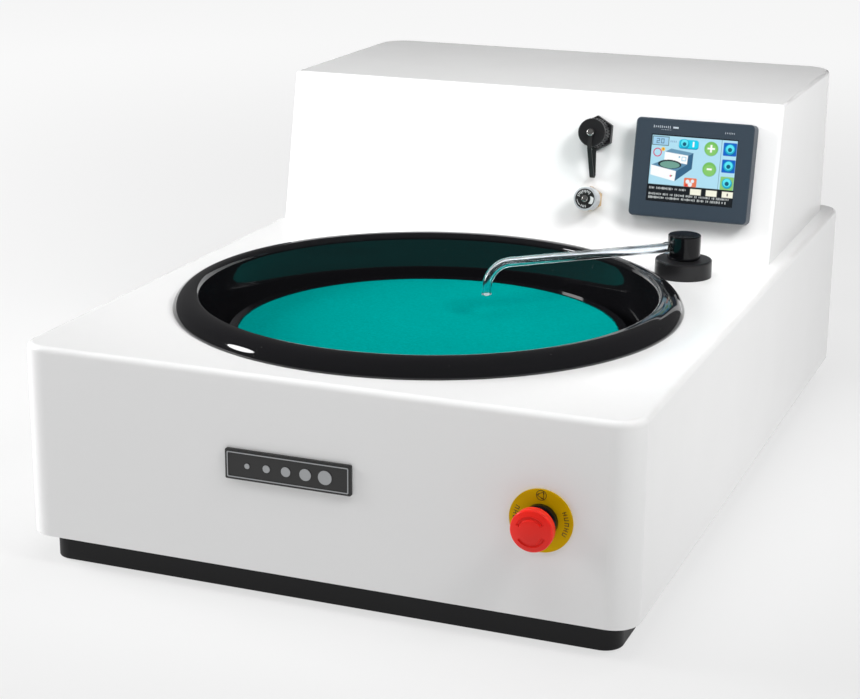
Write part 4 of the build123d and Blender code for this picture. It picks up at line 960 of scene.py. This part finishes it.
def paintScreen(u, v, soft):
    # layers painted from back to front; each layer covers what lies under its shape
    canvas = np.empty((*u.shape, 3))
    canvas[:] = screenTint(10, 14, 18)

    def paint(shape, tint, strength=1.0):
        cover = (np.clip(shape / soft, -1, 1) * 0.5 + 0.5)[..., None] * strength
        canvas[:] = canvas * (1 - cover) + tint * cover

    def roundIcon(x, y, radius):
        paint(discShape(u, v, x + 0.3, y + 0.4, radius), screenTint(10, 60, 110), 0.7)
        paint(discShape(u, v, x, y, radius), screenTint(20, 170, 205))
        paint(discShape(u, v, x, y - 0.5, radius * 0.78), screenTint(90, 230, 245))
        paint(discShape(u, v, x, y + 0.4, radius * 0.42), screenTint(10, 90, 120))

    sky, steel, darkSteel = screenTint(176, 222, 240), screenTint(92, 140, 172), screenTint(52, 98, 132)
    white = np.array([0.98] * 3)
    paint(boxShape(u, v, 0.6, 74.2, 0.8, 42.3), sky)
    paint(boxShape(u, v, 0.9, 15.4, 1.5, 9.2, 0.2), screenTint(60, 70, 60))
    paint(boxShape(u, v, 1.4, 14.9, 2.0, 8.7, 0.2), screenTint(160, 205, 232))
    for bar in digitBars("20", 4.6, 3.4, 2.7, 4.0):
        paint(boxShape(u, v, *bar), screenTint(70, 100, 130))
    for step in range(4):
        paint(boxShape(u, v, 16.6 + 1.5 * step, 17.4 + 1.5 * step, 4.4, 6.0), screenTint(140, 175, 205))
    paint(boxShape(u, v, 24.1, 41.3, 3.0, 10.8, 2.4), screenTint(0, 150, 190))
    paint(boxShape(u, v, 24.3, 41.1, 2.8, 9.9, 2.4), screenTint(10, 205, 235))
    roundIcon(28.9, 6.3, 3.9)
    paint(boxShape(u, v, 36.0, 37.4, 4.2, 8.6, 0.3), white)
    ring = 0.45 - np.abs(np.hypot(u - 6.2, v - 15.2) - 3.3)
    paint(ring, screenTint(214, 60, 105))
    paint(discShape(u, v, 10.9, 12.2, 1.7), screenTint(245, 200, 70))
    paint(discShape(u, v, 10.9, 12.2, 0.6), screenTint(170, 30, 30))
    # small line drawing of the machine
    paint(planeShape(u, v, [(1.6, 26.1), (12.6, 21.2), (32.9, 23.6), (23.7, 30.0)]), steel)
    roof = [(12.7, 14.3), (17.9, 11.3), (37.4, 13.7), (33.0, 16.2)]
    paint(planeShape(u, v, roof), screenTint(104, 150, 178))
    paint(planeShape(u, v, [(12.7, 14.3), (33.0, 16.2), (32.9, 23.6), (12.6, 21.2)]), white)
    paint(planeShape(u, v, [(33.0, 16.2), (37.4, 13.7), (37.2, 27.1), (32.6, 24.6)]), darkSteel)
    paint(planeShape(u, v, [(23.7, 30.0), (33.1, 23.4), (37.2, 27.1), (23.2, 38.6)]), darkSteel)
    paint(planeShape(u, v, [(1.6, 26.1), (23.7, 30.0), (23.2, 38.6), (1.7, 34.5)]), white)
    paint(discShape(u, v, 17.7, 24.6, 10.2, 0.37), screenTint(28, 36, 42))
    paint(discShape(u, v, 17.9, 25.0, 8.6, 0.34), screenTint(112, 160, 146))
    paint(boxShape(u, v, 27.6, 31.6, 17.4, 21.0, 0.2), screenTint(150, 205, 230))
    paint(boxShape(u, v, 28.2, 31.0, 18.0, 20.4, 0.2), white)
    paint(boxShape(u, v, 25.0, 26.2, 17.2, 18.6), screenTint(120, 170, 200))
    paint(discShape(u, v, 19.4, 34.3, 0.9), screenTint(225, 90, 140))
    paint(discShape(u, v, 20.3, 34.1, 0.6), screenTint(90, 160, 70))
    for y, rise in ((8.8, True), (26.1, False)):
        paint(discShape(u, v, 52.4, y + 0.4, 6.0), screenTint(110, 160, 120), 0.6)
        paint(discShape(u, v, 52.2, y, 5.9), screenTint(118, 190, 92))
        paint(discShape(u, v, 52.2, y + 1.0, 4.7), screenTint(140, 205, 110), 0.7)
        paint(boxShape(u, v, 50.0 - rise, 54.4 + rise, y - 0.75, y + 0.75, 0.2), white)
        if rise:
            paint(boxShape(u, v, 51.4, 53.0, y - 3.2, y + 3.2, 0.2), white)
    paint(boxShape(u, v, 60.8, 61.1, 0.8, 42.3), screenTint(60, 80, 120))
    for top, tint in ((2.8, (0, 95, 195)), (16.9, (0, 95, 195)), (31.3, (140, 200, 110))):
        paint(boxShape(u, v, 62.6, 74.0, top, top + 11.0, 0.8), screenTint(*tint))
        roundIcon(68.3, top + 5.4, 4.3)
    paint(boxShape(u, v, 31.4, 42.4, 34.8, 42.3, 1.0), screenTint(232, 120, 80))
    for x, y, radius in ((34.6, 38.0, 1.7), (38.8, 37.4, 1.5), (36.9, 40.3, 1.8)):
        paint(discShape(u, v, x, y, radius), screenTint(235, 240, 245))
    paint(discShape(u, v, 33.6, 41.2, 1.0), screenTint(215, 40, 50))
    paint(boxShape(u, v, 0.6, 74.2, 42.3, 43.0), screenTint(4, 6, 10))
    # status strip: rows of plain ticks and three pale boxes
    dice = np.random.default_rng(11)
    for left, right, y in ((1.8, 35.4, 45.4), (1.8, 71.6, 50.4), (1.8, 69.0, 53.4)):
        for x in np.arange(left, right, 1.25):
            if dice.random() < 0.85:
                tall = dice.choice([1.2, 1.5, 1.9])
                wide = dice.choice([0.5, 0.8])
                paint(boxShape(u, v, x, x + wide, y - tall / 2, y + tall / 2), screenTint(205, 210, 210))
    for left in (37.6, 51.2, 65.0):
        paint(boxShape(u, v, left, left + 9.4, 43.8, 48.8), screenTint(244, 243, 225))
    paint(boxShape(u, v, 69.2, 70.2, 45.2, 47.4), screenTint(70, 50, 60))
    return canvas


def makeScreen(look):
    # flat grid over the window; the colour of every point goes into an attribute that the finish reads
    half = look["width"] / 2, look["height"] / 2
    across = np.linspace(-half[0], half[0], look["columns"])
    downward = np.linspace(half[1], -half[1], look["rows"])
    x, up = np.meshgrid(across, downward)
    origin = np.array(onBezel(0, 0, look["out"] - bezelLook["out"]))
    right = np.array((mm, 0, 0))
    upward = np.array(faceUp) * mm
    points = origin + x[..., None] * right + up[..., None] * upward
    mesh = gridMesh("screenPicture", points, flip=True, smooth=False)
    canvas = paintScreen(x + half[0], half[1] - up, look["soft"])
    color = mesh.color_attributes.new("pictureColor", "FLOAT_COLOR", "POINT")
    values = np.concatenate([canvas, np.ones((*x.shape, 1))], axis=-1)
    color.data.foreach_set("color", values.ravel())
    piece = placePiece("screenPicture", mesh, finishes["screenPicture"], "base")
    shell = piece.modifiers.new("thickness", "SOLIDIFY")
    shell.thickness = look["thickness"] * mm
    shell.offset = -1


makeScreen(screenLook)
print("stage 5: touch screen picture")

nodeFinish = {
    "whiteShell": ["lower_housing", "rear_hood"],
    "plugWhite": ["blanking_plug"],
    "bowlBlack": ["bowl"],
    "satinBlack": ["bowl_drain_elbow", "drain_spigot", "mains_inlet", "switch_frame",
                   "estop_contact_block", "estop_stem", "connector_nut", "connector_body",
                   "connector_cap", "spout_base", "panel_nuts"],
    "glossBlack": ["retaining_ring", "power_rocker", "estop_collar", "spout_column"],
    "frameBlack": ["base_plinth", "motor_fan_cowl"],
    "rubberBlack": ["rubber_feet", "spindle_seal", "drive_belt", "cap_strap"],
    "panelSlate": ["display_bezel", "display_module", "inverter_drive"],
    "stopRed": ["estop_mushroom"],
    "stopYellow": ["estop_legend"],
    "knobGrey": ["valve_knob", "inlet_solenoid"],
    "dialBlack": ["valve_dial"],
    "plateBlack": ["nameplate"],
    "trimMetal": ["nameplate_trim"],
    "motorPaint": ["motor_body"],
    "castGrey": ["bearing_housing"],
    "hoseGrey": ["drain_hose", "water_hoses"],
    "greyPanel": ["rear_panel"],
    "screenGlass": ["display_screen"],
    "zincSteel": ["chassis_plate", "spindle_bridge", "motor_mount", "motor_pulley", "power_supply"],
    "stainless": ["rear_panel_screws", "bearing_outer_rings", "bearing_inner_rings", "spindle_shaft",
                  "motor_shaft", "cap_screw", "valve_knob_screw"],
    "aluminium": ["driven_pulley", "drive_hub", "platen"],
    "brass": ["valve_nut", "valve_body"],
    "napCloth": ["polishing_cloth"],
    "clearTube": ["spout_tube"],
}
for finishName, nodeNames in nodeFinish.items():
    for nodeName in nodeNames:
        data = nodes[nodeName].data
        data.materials.clear()
        data.materials.append(finishes[finishName])
print("stage 6: finishes on the CAD pieces")
